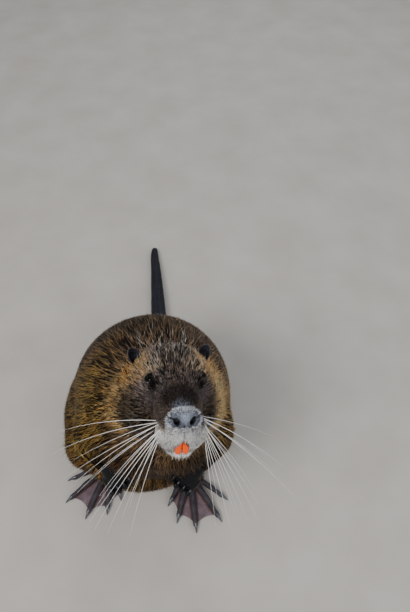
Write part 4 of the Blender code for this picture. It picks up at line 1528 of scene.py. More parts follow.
    def _spines(self, roots: Roots) -> tuple:
        """Root, middle and tip of each tuft, its half widths and its flat direction.

        Args:
            roots: the roots, whose colours it varies.

        Returns:
            The three rows of points, the half widths and the directions.
        """
        rng = np.random.default_rng(self.seed + 1)
        mesh = self.skin.thing.data
        tree = BVHTree.FromPolygons([v.co for v in mesh.vertices], [p.vertices for p in mesh.polygons])
        starts = rows_of(mesh.polygons, "loop_start", 1, np.int32)[:, 0]
        self.face_normals = self.normals[rows_of(mesh.loops, "vertex_index", 1, np.int32)[starts, 0]]
        count = len(roots.place)
        head = roots.values["head"]
        owner = self._locks(roots, rng)
        lit = roots.values["chance"] < roots.values["share"]
        length = roots.values["length"] * np.where(lit, rng.uniform(*self.lit_length, count),
                                                   rng.uniform(*self.dark_length, count))
        local = HEAD.local(roots.place)
        crown = soft(local[:, 1], 0.035, 0.1) * soft(local[:, 1], 0.185, 0.15) * soft(local[:, 2], -0.01, 0.012)
        pale = crown * soft(np.abs(local[:, 0]), 0.042, 0.022)
        pale *= 1 - 0.6 * np.exp(-((local[:, 1] - 0.128) / 0.013) ** 2)
        strand = rng.random(count) < self.strand_share * pale
        roots.values["tip_colour"][strand] = self.strand_colour
        roots.values["chance"][strand] = 0.0
        roots.values["share"][strand] = 1.0
        lit = lit | strand
        length = length * np.where(strand, 1.35, 1.0)
        depth = roots.values["depth"]
        swing = np.radians(rng.normal(0, 1, count) * (9.0 + 3.0 * (1 - head)))
        side = np.cross(roots.normal, roots.flow)
        flow = roots.flow * np.cos(swing)[:, None] + side * np.sin(swing)[:, None]
        rise = np.where(lit, rng.uniform(*self.lit_rise, count), rng.uniform(*self.dark_rise, count)) + 0.45 * strand
        rear = soft(local[:, 1], 0.085, 0.115) * soft(local[:, 1], 0.17, 0.145) * soft(local[:, 2], -0.01, 0.012)
        rise += rear * rng.uniform(0.0, 1.3, count) * head
        first, last = self.bend_at * length, (1 - self.bend_at) * length
        middle = self._follow(tree, roots.place, flow * (first * 0.9)[:, None], depth * 0.62 * rise)
        turn = flow + rng.normal(0, 0.07, (count, 3))
        tip = self._follow(tree, middle, turn * last[:, None], depth * (0.66 + 0.42 * rise))

        # Loose hairs leave the surface, and break the outline.
        chosen = (rng.random(count) < self.loose_share) | strand
        loose = np.where(lit & chosen, rng.uniform(0.15, 0.75, count), 0.0)
        free = middle + unit(turn + roots.normal * (0.1 + 0.1 * crown)[:, None]) * last[:, None]
        tip = tip + (free - tip) * loose[:, None]

        # Locks: tips lean towards the tip at the middle of their lock.
        number = np.bincount(owner).astype(float)
        means = np.stack([np.bincount(owner, tip[:, axis]) / number for axis in range(3)], axis=1)
        pull = rng.uniform(*self.lock_pull, count)
        pull *= np.where(np.linalg.norm(means[owner] - tip, axis=1) < 3.0 * self.lock_spacing, 1.0, 0.0)
        tip = tip + (means[owner] - tip) * pull[:, None]
        middle = middle + (means[owner] - tip) * (0.15 * pull)[:, None]
        wide = 0.00014 + 0.0005 * np.clip(length / 0.03, 0, 1.2)
        wide *= np.where(lit, rng.uniform(*self.lit_width, count), rng.uniform(*self.dark_width, count))
        wide *= 1 - 0.45 * strand
        wide *= 1 + 0.35 * soft(local[:, 1], 0.046, 0.034) * soft(local[:, 2], -0.002, -0.012) * head
        return np.stack([roots.place, middle, tip], axis=1), wide, side

    def _locks(self, roots: Roots, rng: np.random.Generator) -> Array:
        """Gathers the tufts into locks, whose tufts also share much of their colour.

        Args:
            roots: the roots, whose colours it varies.
            rng: source of the draws.

        Returns:
            The number of each tuft's lock.
        """
        count = len(roots.place)
        size = self.lock_spacing * np.where(roots.values["head"] > 0.5, 0.5, 1.0)[:, None]
        cells = np.round(roots.place / size + rng.normal(0, 0.35, (count, 3))).astype(int)
        owner = np.unique(cells, axis=0, return_inverse=True)[1].ravel()
        locks = owner.max() + 1
        shared = 0.68 - 0.45 * soft(HEAD.local(roots.place)[:, 1], 0.06, 0.03)
        both = shared * rng.random(locks)[owner] + (1 - shared) * roots.values["chance"]
        roots.values["chance"] = np.argsort(np.argsort(both)) / count
        warm = np.clip(0.5 + 0.28 * rng.normal(0, 1, locks)[owner] + 0.2 * rng.normal(0, 1, count), 0, 1)
        bright = np.clip(1 + 0.16 * rng.normal(0, 1, locks)[owner] + 0.22 * rng.normal(0, 1, count), 0.45, 1.6)
        hue = np.array(self.cool_tint) * (1 - warm)[:, None] + np.array(self.warm_tint) * warm[:, None]
        roots.values["tip_colour"] = np.clip(roots.values["tip_colour"] * hue * bright[:, None], 0.002, 0.9)
        roots.values["base_colour"] = roots.values["base_colour"] * rng.uniform(0.5, 1.5, (count, 1))
        return owner

    def build(self) -> None:
        """Makes the coat in pieces of one region each."""
        roots = self._roots()
        roots.place = roots.place - roots.normal * self.root_depth
        spine, width, side = self._spines(roots)
        back = HEAD.local(roots.place)[:, 1]
        head = roots.values["head"] > 0.5
        front, left = roots.normal[:, 1] <= self.back_facing, roots.place[:, 0] > self.middle
        regions = {
            "coat_face": (head & (back < self.face_back), "dark_coat"),
            "coat_crown": (head & (back >= self.face_back), "dark_coat"),
            "coat_back": (~head & ~front, "coat"),
            "coat_left": (~head & front & left, "coat"),
            "coat_right": (~head & front & ~left, "coat"),
        }
        for name, (mask, slot) in regions.items():
            rows = np.flatnonzero(mask)
            rows = rows[np.argsort(-roots.place[rows, 2], kind="stable")]
            parts = max(1, math.ceil(len(rows) / self.most_in_piece))
            for number, some in enumerate(np.array_split(rows, parts), 1):
                made = tuft_mesh(f"{name}_{number}", spine[some], width[some], side[some], roots.part(some))
                dress(made, self.finishes.tuft)
                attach(made, "root")


# ---------------- strands by Geometry Nodes

@dataclass
class Strands:
    """Tapered strands along lines, such as whiskers and claws, by one Geometry Nodes tree."""

    tree: bpy.types.NodeTree = None
    sides_socket: str = ""
    material_socket: str = ""

    def __post_init__(self) -> None:
        """Builds the tree: lines to curves, curves to tubes, and a material at the end."""
        tree = bpy.data.node_groups.new("tapered_strands", "GeometryNodeTree")
        geometry, number = "NodeSocketGeometry", "NodeSocketInt"
        tree.interface.new_socket("Lines", in_out="INPUT", socket_type=geometry)
        sides = tree.interface.new_socket("Sides", in_out="INPUT", socket_type=number)
        finish = tree.interface.new_socket("Finish", in_out="INPUT", socket_type="NodeSocketMaterial")
        tree.interface.new_socket("Strands", in_out="OUTPUT", socket_type=geometry)
        n = Nodes(tree)
        given = n.add("NodeGroupInput").outputs
        curve = n.add("GeometryNodeMeshToCurve", {"Mesh": given["Lines"]})
        girth = n.add("GeometryNodeInputNamedAttribute", {"Name": "girth"}, data_type="FLOAT")
        circle = n.add("GeometryNodeCurvePrimitiveCircle", {"Resolution": given["Sides"], "Radius": 1.0})
        tube = n.add("GeometryNodeCurveToMesh", {"Curve": curve.outputs[0], "Profile Curve": circle.outputs[0],
                                                 "Scale": girth.outputs["Attribute"], "Fill Caps": True})
        real = n.add("GeometryNodeRealizeInstances", {"Geometry": tube.outputs[0]})
        smooth = n.add("GeometryNodeSetShadeSmooth", {"Geometry": real.outputs[0]})
        dressed = n.add("GeometryNodeSetMaterial", {"Geometry": smooth.outputs[0], "Material": given["Finish"]})
        out = n.add("NodeGroupOutput")
        n.link(dressed.outputs[0], out.inputs[0])
        self.tree, self.sides_socket, self.material_socket = tree, sides.identifier, finish.identifier

    def build(self, name: str, lines: list, girths: list, sides: int, finish: bpy.types.Material) -> bpy.types.Object:
        """Makes strands.

        Args:
            name: the piece's name.
            lines: for each strand, rows of points from root to tip.
            girths: for each strand, its radius at each point.
            sides: corners of a section.
            finish: the material.

        Returns:
            The finished piece, as a plain mesh.
        """
        mesh = bpy.data.meshes.new(name)
        points, edges = [], []
        for line in lines:
            start = len(points)
            points += [tuple(p) for p in line]
            edges += [(start + i, start + i + 1) for i in range(len(line) - 1)]
        mesh.from_pydata(points, edges, [])
        attribute(mesh, "girth", np.concatenate(girths))
        made = placed(name, mesh)
        work = made.modifiers.new("strands", "NODES")
        work.node_group = self.tree
        work[self.sides_socket] = sides
        work[self.material_socket] = finish
        report(evaluated(made))
        return made


def arc(root: Array, tip: Array, lift: Array, count: int) -> Array:
    """Points on a bow from root to tip, which passes lift away from the middle of its chord."""
    t = np.linspace(0, 1, count)[:, None]
    return np.asarray(root) * (1 - t) + np.asarray(tip) * t + np.asarray(lift) * (4 * t * (1 - t))


# ---------------- hind feet

@dataclass
class HindFoot:
    """A bare hind foot: five toes, webs between the inner four, and the claws."""

    side: Side
    form: BodyForm
    finishes: Finishes
    strands: Strands
    toes: tuple = ((0.089, -0.042, True), (0.117, -0.03, True), (0.1355, 0.0, True),
                   (0.125, 0.043, False), (0.093, 0.058, False))
    root_ahead: float = 0.064
    root_step: float = 0.0085
    claw_length: float = 0.012
    web_thickness: float = 0.0024
    scute_length: float = 0.0026
    voxel: float = 0.00088

    def at(self, ahead: float, outward: float, up: float) -> Array:
        """A point of the foot from its heel."""
        out = np.array(self.across) * self.side.value
        return np.array(self.form.heel[self.side]) + self.form.ahead(self.side) * ahead + out * outward + (0, 0, up)

    @property
    def across(self) -> tuple:
        """The direction across the sole."""
        turn = self.form.foot_turn[self.side] * self.side.value
        return math.cos(turn), math.sin(turn), 0

    def toe(self, index: int) -> tuple:
        """Root, knuckle, end of the flesh and claw tip of one toe.

        Args:
            index: the toe's number, from the inner side.

        Returns:
            The four points.
        """
        ahead, outward, _ = self.toes[index]
        root = self.at(self.root_ahead - 0.004 * abs(index - 2), self.root_step * (index - 2), 0.009)
        tip = self.at(ahead, outward, 0.0022)
        along = unit((tip - root) * (1, 1, 0))
        end = tip - along * self.claw_length
        knuckle = root + (end - root) * 0.52
        return root, np.array((*knuckle[:2], 0.0098)), np.array((*end[:2], 0.005)), tip

    def _web(self, shapes: Shapes, index: int) -> None:
        """The sheet of skin between two toes, scalloped at its free edge and creased.

        Args:
            shapes: where the shapes are gathered.
            index: number of its inner toe.
        """
        one, other = self.toe(index), self.toe(index + 1)
        columns, rows = 15, 22
        grid = np.empty((rows, columns, 3))
        for i in range(rows):
            for j in range(columns):
                across = j / (columns - 1)
                t = 0.98 * (1 - 0.08 * math.sin(math.pi * across)) * i / (rows - 1)
                a, b = one[0] + (one[2] - one[0]) * t, other[0] + (other[2] - other[0]) * t
                p = a + (b - a) * across
                sag = 0.001 * math.sin(math.pi * across) * t
                crease = 0.00035 * math.sin(across * 5 * math.pi + 4 * t) * t
                grid[i, j] = (*p[:2], 0.005 - 0.0014 * t - sag + crease)
        count = rows * columns
        half = np.array((0, 0, self.web_thickness / 2))
        points = np.vstack([(grid - half).reshape(-1, 3), (grid + half).reshape(-1, 3)])
        number = np.arange(count).reshape(rows, columns)
        faces = []
        for i in range(rows - 1):
            for j in range(columns - 1):
                a, b, c, d = number[i, j], number[i + 1, j], number[i + 1, j + 1], number[i, j + 1]
                faces += [(a, b, c, d), (count + a, count + d, count + c, count + b)]
        rim = [*number[0], *number[1:, -1], *number[-1, -2::-1], *number[-2:0:-1, 0]]
        faces += [(a, b, count + b, count + a) for a, b in zip(rim, [*rim[1:], rim[0]])]
        shapes.add(points, faces)

    def _toe_rows(self, index: int) -> list:
        """Stations of one toe, fuller at its joints and its end pad.

        Args:
            index: the toe's number.

        Returns:
            Rows for a sweep.
        """
        root, knuckle, end, _ = self.toe(index)
        big = 1.0 if index in (1, 2, 3) else 0.88
        heel_side = root + (knuckle - root) * -0.35
        marks = ((0.0, 1.0), (0.3, 0.93), (0.5, 1.04), (0.64, 0.9), (0.8, 0.92), (0.93, 1.06), (1.0, 1.0))
        rows = []
        for t, full in marks:
            if t <= 0.5:
                p = heel_side + (knuckle - heel_side) * (t / 0.5)
            else:
                p = knuckle + (end - knuckle) * (t - 0.5) * 2
            width = (0.0062 - 0.0024 * t ** 1.1) * big * full
            rows.append((*p, width, width * 1.1))
        return rows

    def build(self) -> None:
        """Makes the foot and its claws."""
        shapes = Shapes()
        shapes.sweep([(*self.at(0.01, 0, 0.011), 0.01, 0.011), (*self.at(0.035, 0, 0.0105), 0.0135, 0.0105),
                      (*self.at(0.062, 0, 0.0085), 0.02, 0.0085)], self.across, sides=28)
        lines, girths = [], []
        for index, (_, _, webbed) in enumerate(self.toes):
            shapes.sweep(self._toe_rows(index), self.across, sides=22, per_span=5)
            if webbed:
                self._web(shapes, index)
            _, knuckle, end, tip = self.toe(index)
            start = end + (knuckle - end) * 0.18 + (0, 0, 0.0012)
            lines.append(arc(start, tip - (0, 0, 0.0006), (0, 0, 0.0016), 9))
            girths.append(0.0029 * (1 - np.linspace(0, 1, 9)) ** 0.75 + 0.00035)
        made = shapes.fused(f"hind_foot_{self.side.label}_skin", self.voxel, 3)
        above_floor(made.data)
        self._mark(made.data)
        dress(made, self.finishes.foot)
        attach(made, "root")
        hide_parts(f"hind_foot_{self.side.label}")
        claws = self.strands.build(f"hind_claws_{self.side.label}", lines, girths, 14, self.finishes.claw)
        above_floor(claws.data)
        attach(claws, "root")

    def _mark(self, mesh: bpy.types.Mesh) -> None:
        """Stores where the webs, the toes' edges and the rows of scutes are.

        Args:
            mesh: the foot's mesh.
        """
        points = points_of(mesh)
        near, along = np.full(len(points), 1.0), np.zeros(len(points))
        for index in range(len(self.toes)):
            root, _, end, _ = self.toe(index)
            root, end = root[:2], end[:2]
            way = end - root
            t = np.clip((points[:, :2] - root) @ way / (way @ way), -0.4, 1.15)
            far = np.linalg.norm(points[:, :2] - root - t[:, None] * way, axis=1)
            along = np.where(far < near, t * np.linalg.norm(way), along)
            near = np.minimum(near, far)
        attribute(mesh, "web", soft(near, 0.0042, 0.0062) * soft(points[:, 2], 0.0086, 0.0072))
        attribute(mesh, "toe_edge", soft(near, 0.0032, 0.0046) * soft(near, 0.0072, 0.0056) * 0.85)
        rows = 0.5 + 0.5 * np.sin(along * 2 * np.pi / self.scute_length)
        attribute(mesh, "scute", rows * soft(near, 0.0045, 0.003))


# ---------------- forepaws

@dataclass
class Forepaw:
    """A bare hand that hangs from the wrist with curled fingers."""

    side: Side
    form: BodyForm
    finishes: Finishes
    strands: Strands
    spacing: float = 0.0094
    voxel: float = 0.0008

    def build(self) -> None:
        """Makes the hand and its claws."""
        wrist, knuckles, elbow = (np.array(v[self.side]) for v in
                                  (self.form.wrist, self.form.knuckles, self.form.elbow))
        forward = unit(knuckles - wrist)
        out = np.array((0.82 * self.side.value, -0.5, -0.2))
        out = unit(out - forward * (out @ forward))
        up = np.cross(forward, out) * -self.side.value
        shapes = Shapes()
        middle = elbow + (wrist - elbow) * 0.3
        shapes.sweep([(*middle, 0.0125, 0.0125), (*wrist, 0.0136, 0.0126), (*knuckles, 0.0186, 0.0134)], out)
        lines, girths = [], []
        for index in range(4):
            longer = 1.0 if index in (1, 2) else 0.88
            root = knuckles + out * ((index - 1.5) * self.spacing) + forward * 0.0005
            bend = root + (forward * 0.0086 - up * 0.0034) * longer
            end = bend - (up * 0.011 + forward * 0.0016) * longer
            tip = end - up * 0.002 - forward * 0.0074
            shapes.sweep([(*(root - forward * 0.01), 0.0052, 0.0072), (*root, 0.0056, 0.0073),
                          (*((root + bend) / 2), 0.005, 0.0062), (*bend, 0.0054, 0.006),
                          (*((bend + end) / 2), 0.0044, 0.0048), (*end, 0.0043, 0.0045)], out, sides=18, per_span=4)
            shapes.ball(root + up * 0.0036, (0.0054, 0.0054, 0.0048), rings=10)
            shapes.ball(end - up * 0.001 + forward * 0.001, (0.0038, 0.0038, 0.0036), rings=10)
            lines.append(arc(end + forward * 0.001, tip, forward * 0.0012, 8))
            girths.append(0.0022 * (1 - np.linspace(0, 1, 8)) ** 0.7 + 0.0003)
        root = wrist + (knuckles - wrist) * 0.55 - out * 0.0105 - up * 0.004
        shapes.sweep([(*root, 0.0042, 0.0042), (*(root - out * 0.003 - up * 0.008), 0.003, 0.003)], forward, sides=16)
        for across in (-0.007, 0.0, 0.007):
            shapes.ball(knuckles + out * across - up * 0.0095 - forward * 0.002, (0.0042, 0.0042, 0.0034), rings=10)
        made = shapes.fused(f"forepaw_{self.side.label}_skin", self.voxel, 3)
        dress(made, self.finishes.bare)
        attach(made, "root")
        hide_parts(f"forepaw_{self.side.label}")
        claws = self.strands.build(f"hand_claws_{self.side.label}", lines, girths, 12, self.finishes.claw)
        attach(claws, "root")


# ---------------- tail

@dataclass
class Tail:
    """Round tapering tail in rings of scales, with sparse bristles between them."""

    finishes: Finishes
    length: float = 0.33
    start: float = 0.036
    stations: tuple = ((0.0, 0.0, 0.0195), (0.12, 0.0, 0.018), (0.3, -0.002, 0.0165),
                       (0.5, -0.008, 0.0145), (0.75, -0.017, 0.0112), (0.93, -0.0245, 0.0084),
                       (1.0, -0.0262, 0.0062))
    ring_length: float = 0.0024
    steps_in_ring: int = 4
    sides: int = 64
    scales_round: int = 18
    bristles: int = 4200
    seed: int = 23

    def _line(self) -> Array:
        """Centre and radius along the tail, as rows of x, y, z and radius from root to tip."""
        rows = [(bend, self.start + along * self.length,
                 radius - 0.0005 + 0.026 * max(0.0, 1 - along / 0.2) ** 2, radius)
                for along, bend, radius in self.stations]
        return smooth_curve(rows, 40)

    def build(self) -> None:
        """Makes the tail and its bristles."""
        line = self._line()
        travel = np.concatenate([[0], np.cumsum(np.linalg.norm(np.diff(line[:, :3], axis=0), axis=1))])
        count = int(travel[-1] / self.ring_length) * self.steps_in_ring
        s = np.linspace(0, travel[-1], count)
        rows = np.stack([np.interp(s, travel, line[:, k]) for k in range(4)], axis=1)
        way = unit(np.gradient(rows[:, :3], axis=0))
        across = unit(np.cross(way, (0, 0, 1)))
        other = np.cross(across, way)
        angle = 2 * np.pi * np.arange(self.sides) / self.sides
        phase = s / self.ring_length
        ring = phase % 1.0
        stagger = np.where(np.floor(phase) % 2 < 1, 0.0, 0.5)
        around = (angle[None] / (2 * np.pi) * self.scales_round + stagger[:, None]) % 1.0
        gap = soft(np.abs(around - 0.5), 0.5, 0.36)
        body = soft(ring, 0.0, 0.3) * soft(ring, 1.02, 0.8)
        scale = body[:, None] * gap
        rim = rows[:, 3:4] - 0.0004 + 0.00042 * scale * (0.55 + 0.45 * (1 - ring))[:, None]
        points = (rows[:, None, :3] + across[:, None] * (np.cos(angle)[None] * rim)[..., None]
                  + other[:, None] * (np.sin(angle)[None] * rim)[..., None])
        caps = []
        for row, direction in ((0, -1), (-1, 1)):
            layers = []
            for turn in np.radians((30, 55, 75)):
                radius = rim[row].mean()
                centre = rows[row, :3] + way[row] * direction * radius * math.sin(turn)
                layers.append(centre + (points[row] - rows[row, :3]) * math.cos(turn))
            caps.append((layers, rows[row, :3] + way[row] * direction * rim[row].mean()))
        rings = np.array([*caps[0][0][::-1], *points, *caps[1][0]])
        shade = np.vstack([np.full((3, self.sides), 0.6), scale, np.full((3, self.sides), 0.6)])
        flat = np.vstack([rings.reshape(-1, 3), caps[0][1], caps[1][1]])
        flat[:, 2] = np.maximum(flat[:, 2], 0.0)
        made = mesh_from("tail_skin", flat, closed_rings(len(rings), self.sides))
        attribute(made.data, "scale", np.concatenate([shade.ravel(), (0.6, 0.6)]))
        dress(made, self.finishes.tail)
        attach(made, "root")
        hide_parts("tail")
        self._bristles(rows, way, across, other)

    def _bristles(self, rows: Array, way: Array, across: Array, other: Array) -> None:
        """Short stiff hairs that point to the tip of the tail.

        Args:
            rows: centre and radius along the tail.
            way: direction of the tail at each row.
            across: level direction across it.
            other: the third direction.
        """
        rng = np.random.default_rng(self.seed)
        pick = rng.integers(0, len(rows) - 1, self.bristles)
        angle = rng.uniform(0, 2 * np.pi, self.bristles)
        out = across[pick] * np.cos(angle)[:, None] + other[pick] * np.sin(angle)[:, None]
        root = rows[pick, :3] + out * (rows[pick, 3:4] - 0.0008)
        length = rng.uniform(0.004, 0.0075, self.bristles)[:, None]
        length = length * (1 + 1.2 * soft(pick / len(rows), 0.16, 0.02))[:, None]
        middle = root + (way[pick] * 0.86 + out * 0.42) * length * 0.5
        tip = middle + (way[pick] * 0.98 + out * 0.1) * length * 0.5
        keep = (tip[:, 2] > 0.001) & (root[:, 2] > 0.001)
        wide = np.full(self.bristles, 0.00022)
        dark = np.tile((0.007, 0.007, 0.009), (self.bristles, 1))
        light = np.tile((0.05, 0.045, 0.045), (self.bristles, 1))
        uv = np.stack([pick / len(rows), angle / (2 * np.pi)], axis=1) * 0.98 + 0.01
        roots = Roots(root, out, way[pick], uv, {"base_colour": dark, "tip_colour": light,
                                                "share": np.full(self.bristles, 0.35),
                                                "chance": rng.random(self.bristles)}).part(keep)
        made = tuft_mesh("tail_bristles", np.stack([root, middle, tip], axis=1)[keep],
                         wide[keep], np.cross(out, way[pick])[keep], roots)
        dress(made, self.finishes.tuft)
        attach(made, "root")


# ---------------- ears, eyes, nose, teeth, whiskers

@dataclass
class Ear:
    """A small round ear: a thin cupped shell with a rolled rim."""

    side: Side
    finishes: Finishes
    place: tuple = (0.0388, 0.116, 0.028)
    half_width: float = 0.008
    half_height: float = 0.0146
    thickness: float = 0.0011

    def build(self) -> None:
        """Makes the ear."""
        s = self.side.value
        turn = HEAD.turn @ np.array(Matrix.Rotation(math.radians(30.0 * s), 3, "Y")
                                    @ Matrix.Rotation(math.radians(-24.0 * s), 3, "Z"))
        base = HEAD.at(s * self.place[0], self.place[1], self.place[2])
        rings, sides = 22, 56
        points, rim = [], []
        for i in range(rings + 1):
            t = i / rings
            roll = max(0.0, (t - 0.86) / 0.14)
            for j in range(sides):
                angle = 2 * math.pi * j / sides
                wobble = 1 + 0.03 * math.sin(3 * angle + 0.6) + 0.02 * math.sin(5 * angle)
                notch = 1 - 0.16 * math.exp(-((math.cos(angle + math.pi / 2 + 0.4 * s) - 1) / 0.1) ** 2)
                reach = t * wobble * notch * (1 - 0.05 * roll * roll)
                x = self.half_width * reach * math.cos(angle)
                z = 0.0055 + self.half_height * reach * math.sin(angle)
                y = 0.0048 - 0.008 * t ** 2.1 - 0.001 * roll
                upper = max(0.0, math.sin(angle))
                y -= 0.0013 * math.exp(-((t - 0.6) / 0.07) ** 2) * upper
                y -= 0.0018 * math.exp(-((t - 0.45) / 0.12) ** 2) * max(0.0, -math.sin(angle + 0.5 * s)) ** 2
                points.append(base + turn @ (x, y, z))
                rim.append(t)
        faces = turned_over(ring_quads(rings + 1, sides))
        made = mesh_from(f"ear_{self.side.label}_skin", np.array(points), faces)
        with editing(made.data) as bm:
            level = bm.verts.layers.float.new("rim")
            for vert, t in zip(bm.verts, rim):
                vert[level] = float(soft(np.array(t), 0.7, 0.96))
            bmesh.ops.remove_doubles(bm, verts=bm.verts, dist=1e-6)
            bmesh.ops.recalc_face_normals(bm, faces=bm.faces)
        wall = made.modifiers.new("wall", "SOLIDIFY")
        wall.thickness = self.thickness
        wall.offset = 0.0
        evaluated(made)
        dress(made, self.finishes.ear)
        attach(made, "root")
        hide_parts(f"ear_{self.side.label}")


@dataclass
class Eye:
    """A small wet black eye."""

    side: Side
    place: EyePlace
    finishes: Finishes

    def build(self) -> None:
        """Makes the ball, its pupil and iris."""
        centre, gaze, long, short = self.place.frame(self.side)
        shapes = Shapes()
        turn = np.stack([long, short, gaze], axis=1)
        if np.linalg.det(turn) < 0:
            turn[:, 1] *= -1
        shapes.ball(centre, (self.place.radius,) * 3, turn, rings=40)
        made = mesh_from(f"eyeball_{self.side.label}", np.array(shapes.points), shapes.faces)
        points = points_of(made.data)
        polar = np.degrees(np.arccos(np.clip(unit(points - centre) @ gaze, -1, 1)))
        points += gaze * (0.0005 * soft(polar, 50, 10))[:, None]
        set_points(made.data, points)
        attribute(made.data, "iris", soft(polar, 24, 30) * soft(polar, 62, 52))
        dress(made, self.finishes.eye)
        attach(made, "root")
        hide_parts(f"eye_{self.side.label}")


@dataclass
class NosePad:
    """The bare nose pad with its two nostrils."""

    finishes: Finishes
    centre: tuple = (0.0, 0.0026, 0.0034)
    radii: tuple = (0.0152, 0.008, 0.0092)
    nostril: tuple = (0.008, 0.0032)
    nostril_size: tuple = (0.0031, 0.0048)
    lean: float = 0.35
    fringe: int = 2400
    seed: int = 41
    hollow: float = 0.005

    def build(self) -> None:
        """Makes the pad in the head's frame, then puts it on the head."""
        shapes = Shapes()
        shapes.ball(self.centre, self.radii, rings=80)
        local = np.array(shapes.points)
        x, back, up = local.T
        front = soft(back, 0.004, -0.001)
        dx, dz = np.abs(x) - self.nostril[0], up - self.nostril[1]
        a = dx * math.cos(self.lean) - dz * math.sin(self.lean)
        b = dx * math.sin(self.lean) + dz * math.cos(self.lean)
        hole = np.hypot(a / self.nostril_size[0], b / self.nostril_size[1])
        tail = np.hypot((np.abs(x) - 0.0128) / 0.0026, (up - 0.006) / 0.001)
        near = np.minimum(hole, tail)
        inside = soft(near, 1.12, 0.8) * front
        rim = soft(near, 0.95, 1.15) * soft(near, 1.95, 1.35) * front
        local[:, 1] += self.hollow * inside * front - 0.0007 * rim
        groove = np.exp(-(x / 0.0013) ** 2) * soft(up, 0.005, -0.001) * front
        saddle = np.exp(-(x / 0.0042) ** 2) * front
        local[:, 1] += 0.0012 * groove + 0.0011 * saddle
        local[:, 2] -= 0.0007 * np.exp(-(x / 0.004) ** 2) * soft(up, 0.003, 0.009)
        self._fringe(local, near)
        made = mesh_from("nose_pad", HEAD.world(local), shapes.faces)
        # Painted shade: the hollow inside each nostril, which the nose finish colours near black.
        attribute(made.data, "inside", inside)
        attribute(made.data, "rim", soft(near, 2.6, 1.3) * front * 0.85)
        dress(made, self.finishes.nose)
        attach(made, "root")
        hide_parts("nose")

    def _fringe(self, local: Array, near: Array) -> None:
        """Short pale hairs over the edge and the middle of the pad.

        Args:
            local: the pad's points in the head's frame.
            near: distance to a nostril, 1 at its edge.
        """
        rng = np.random.default_rng(self.seed)
        off = (local - np.array(self.centre)) / np.array(self.radii)
        rim = np.hypot(off[:, 0], off[:, 2])
        middle = soft(np.abs(local[:, 0]), 0.0058, 0.003) * 0.2
        weight = (soft(rim, 0.66, 0.9) + middle) * (off[:, 1] < 0.35) * (near > 1.5)
        pick = rng.choice(len(local), self.fringe, p=weight / weight.sum())
        root = local[pick] + rng.normal(0, 0.0002, (self.fringe, 3))
        out = unit(off[pick] / np.array(self.radii))
        way = unit(off[pick] * (1, 0, 1) + (0, 0.05, 0.1) + rng.normal(0, 0.18, (self.fringe, 3)))
        length = rng.uniform(0.0018, 0.0046, (self.fringe, 1)) * (0.35 + 0.65 * rim[pick, None])
        mid = root + (way + out * 0.45) * length * 0.5
        tip = mid + (way + (0, 0.25, 0)) * length * 0.55
        spine = np.stack([HEAD.world(p) for p in (root - out * 0.0004, mid, tip)], axis=1)
        wide = np.full(self.fringe, 0.0002)
        values = {"base_colour": np.tile((0.16, 0.17, 0.19), (self.fringe, 1)),
                  "tip_colour": np.tile((0.66, 0.69, 0.75), (self.fringe, 1)),
                  "share": np.full(self.fringe, 0.75), "chance": rng.random(self.fringe)}
        uv = np.stack([0.5 + local[pick, 0] * 25, 0.5 + local[pick, 2] * 25], axis=1)
        roots = Roots(spine[:, 0], out, way, uv, values)
        made = tuft_mesh("nose_fringe", spine, wide, np.cross(spine[:, 2] - spine[:, 0], HEAD.turn @ (0, -1, 0)),
                         roots)
        dress(made, self.finishes.tuft)
        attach(made, "root")


@dataclass
class Incisors:
    """Two long orange front teeth with chisel edges."""

    finishes: Finishes
    line: tuple = ((0.01, -0.014), (0.0076, -0.0215), (0.0074, -0.03), (0.009, -0.0372))
    half_widths: tuple = (0.0024, 0.0031, 0.0034, 0.0029)
    half_depths: tuple = (0.0018, 0.0018, 0.0016, 0.0006)
    offsets: tuple = (0.0025, 0.0032, 0.0038, 0.0039)
    sway: float = -0.001

    def build(self) -> None:
        """Makes both teeth as one piece."""
        shapes = Shapes()
        along = []
        for s in (1, -1):
            rows = [(*HEAD.at(s * off + self.sway, back, up), wide, deep)
                    for (back, up), wide, deep, off in
                    zip(self.line, self.half_widths, self.half_depths, self.offsets)]
            start = len(shapes.points)
            shapes.sweep(rows, tuple(HEAD.turn @ (1, 0, 0)), sides=28, per_span=9, power=3.0)
            points = HEAD.local(np.array(shapes.points[start:]))
            along.append(soft(points[:, 2], -0.016, -0.03))
        made = mesh_from("incisor_pair", np.array(shapes.points), shapes.faces)
        face_outwards(made.data)
        attribute(made.data, "along", np.concatenate(along))
        dress(made, self.finishes.enamel)
        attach(made, "root")
        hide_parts("incisors")


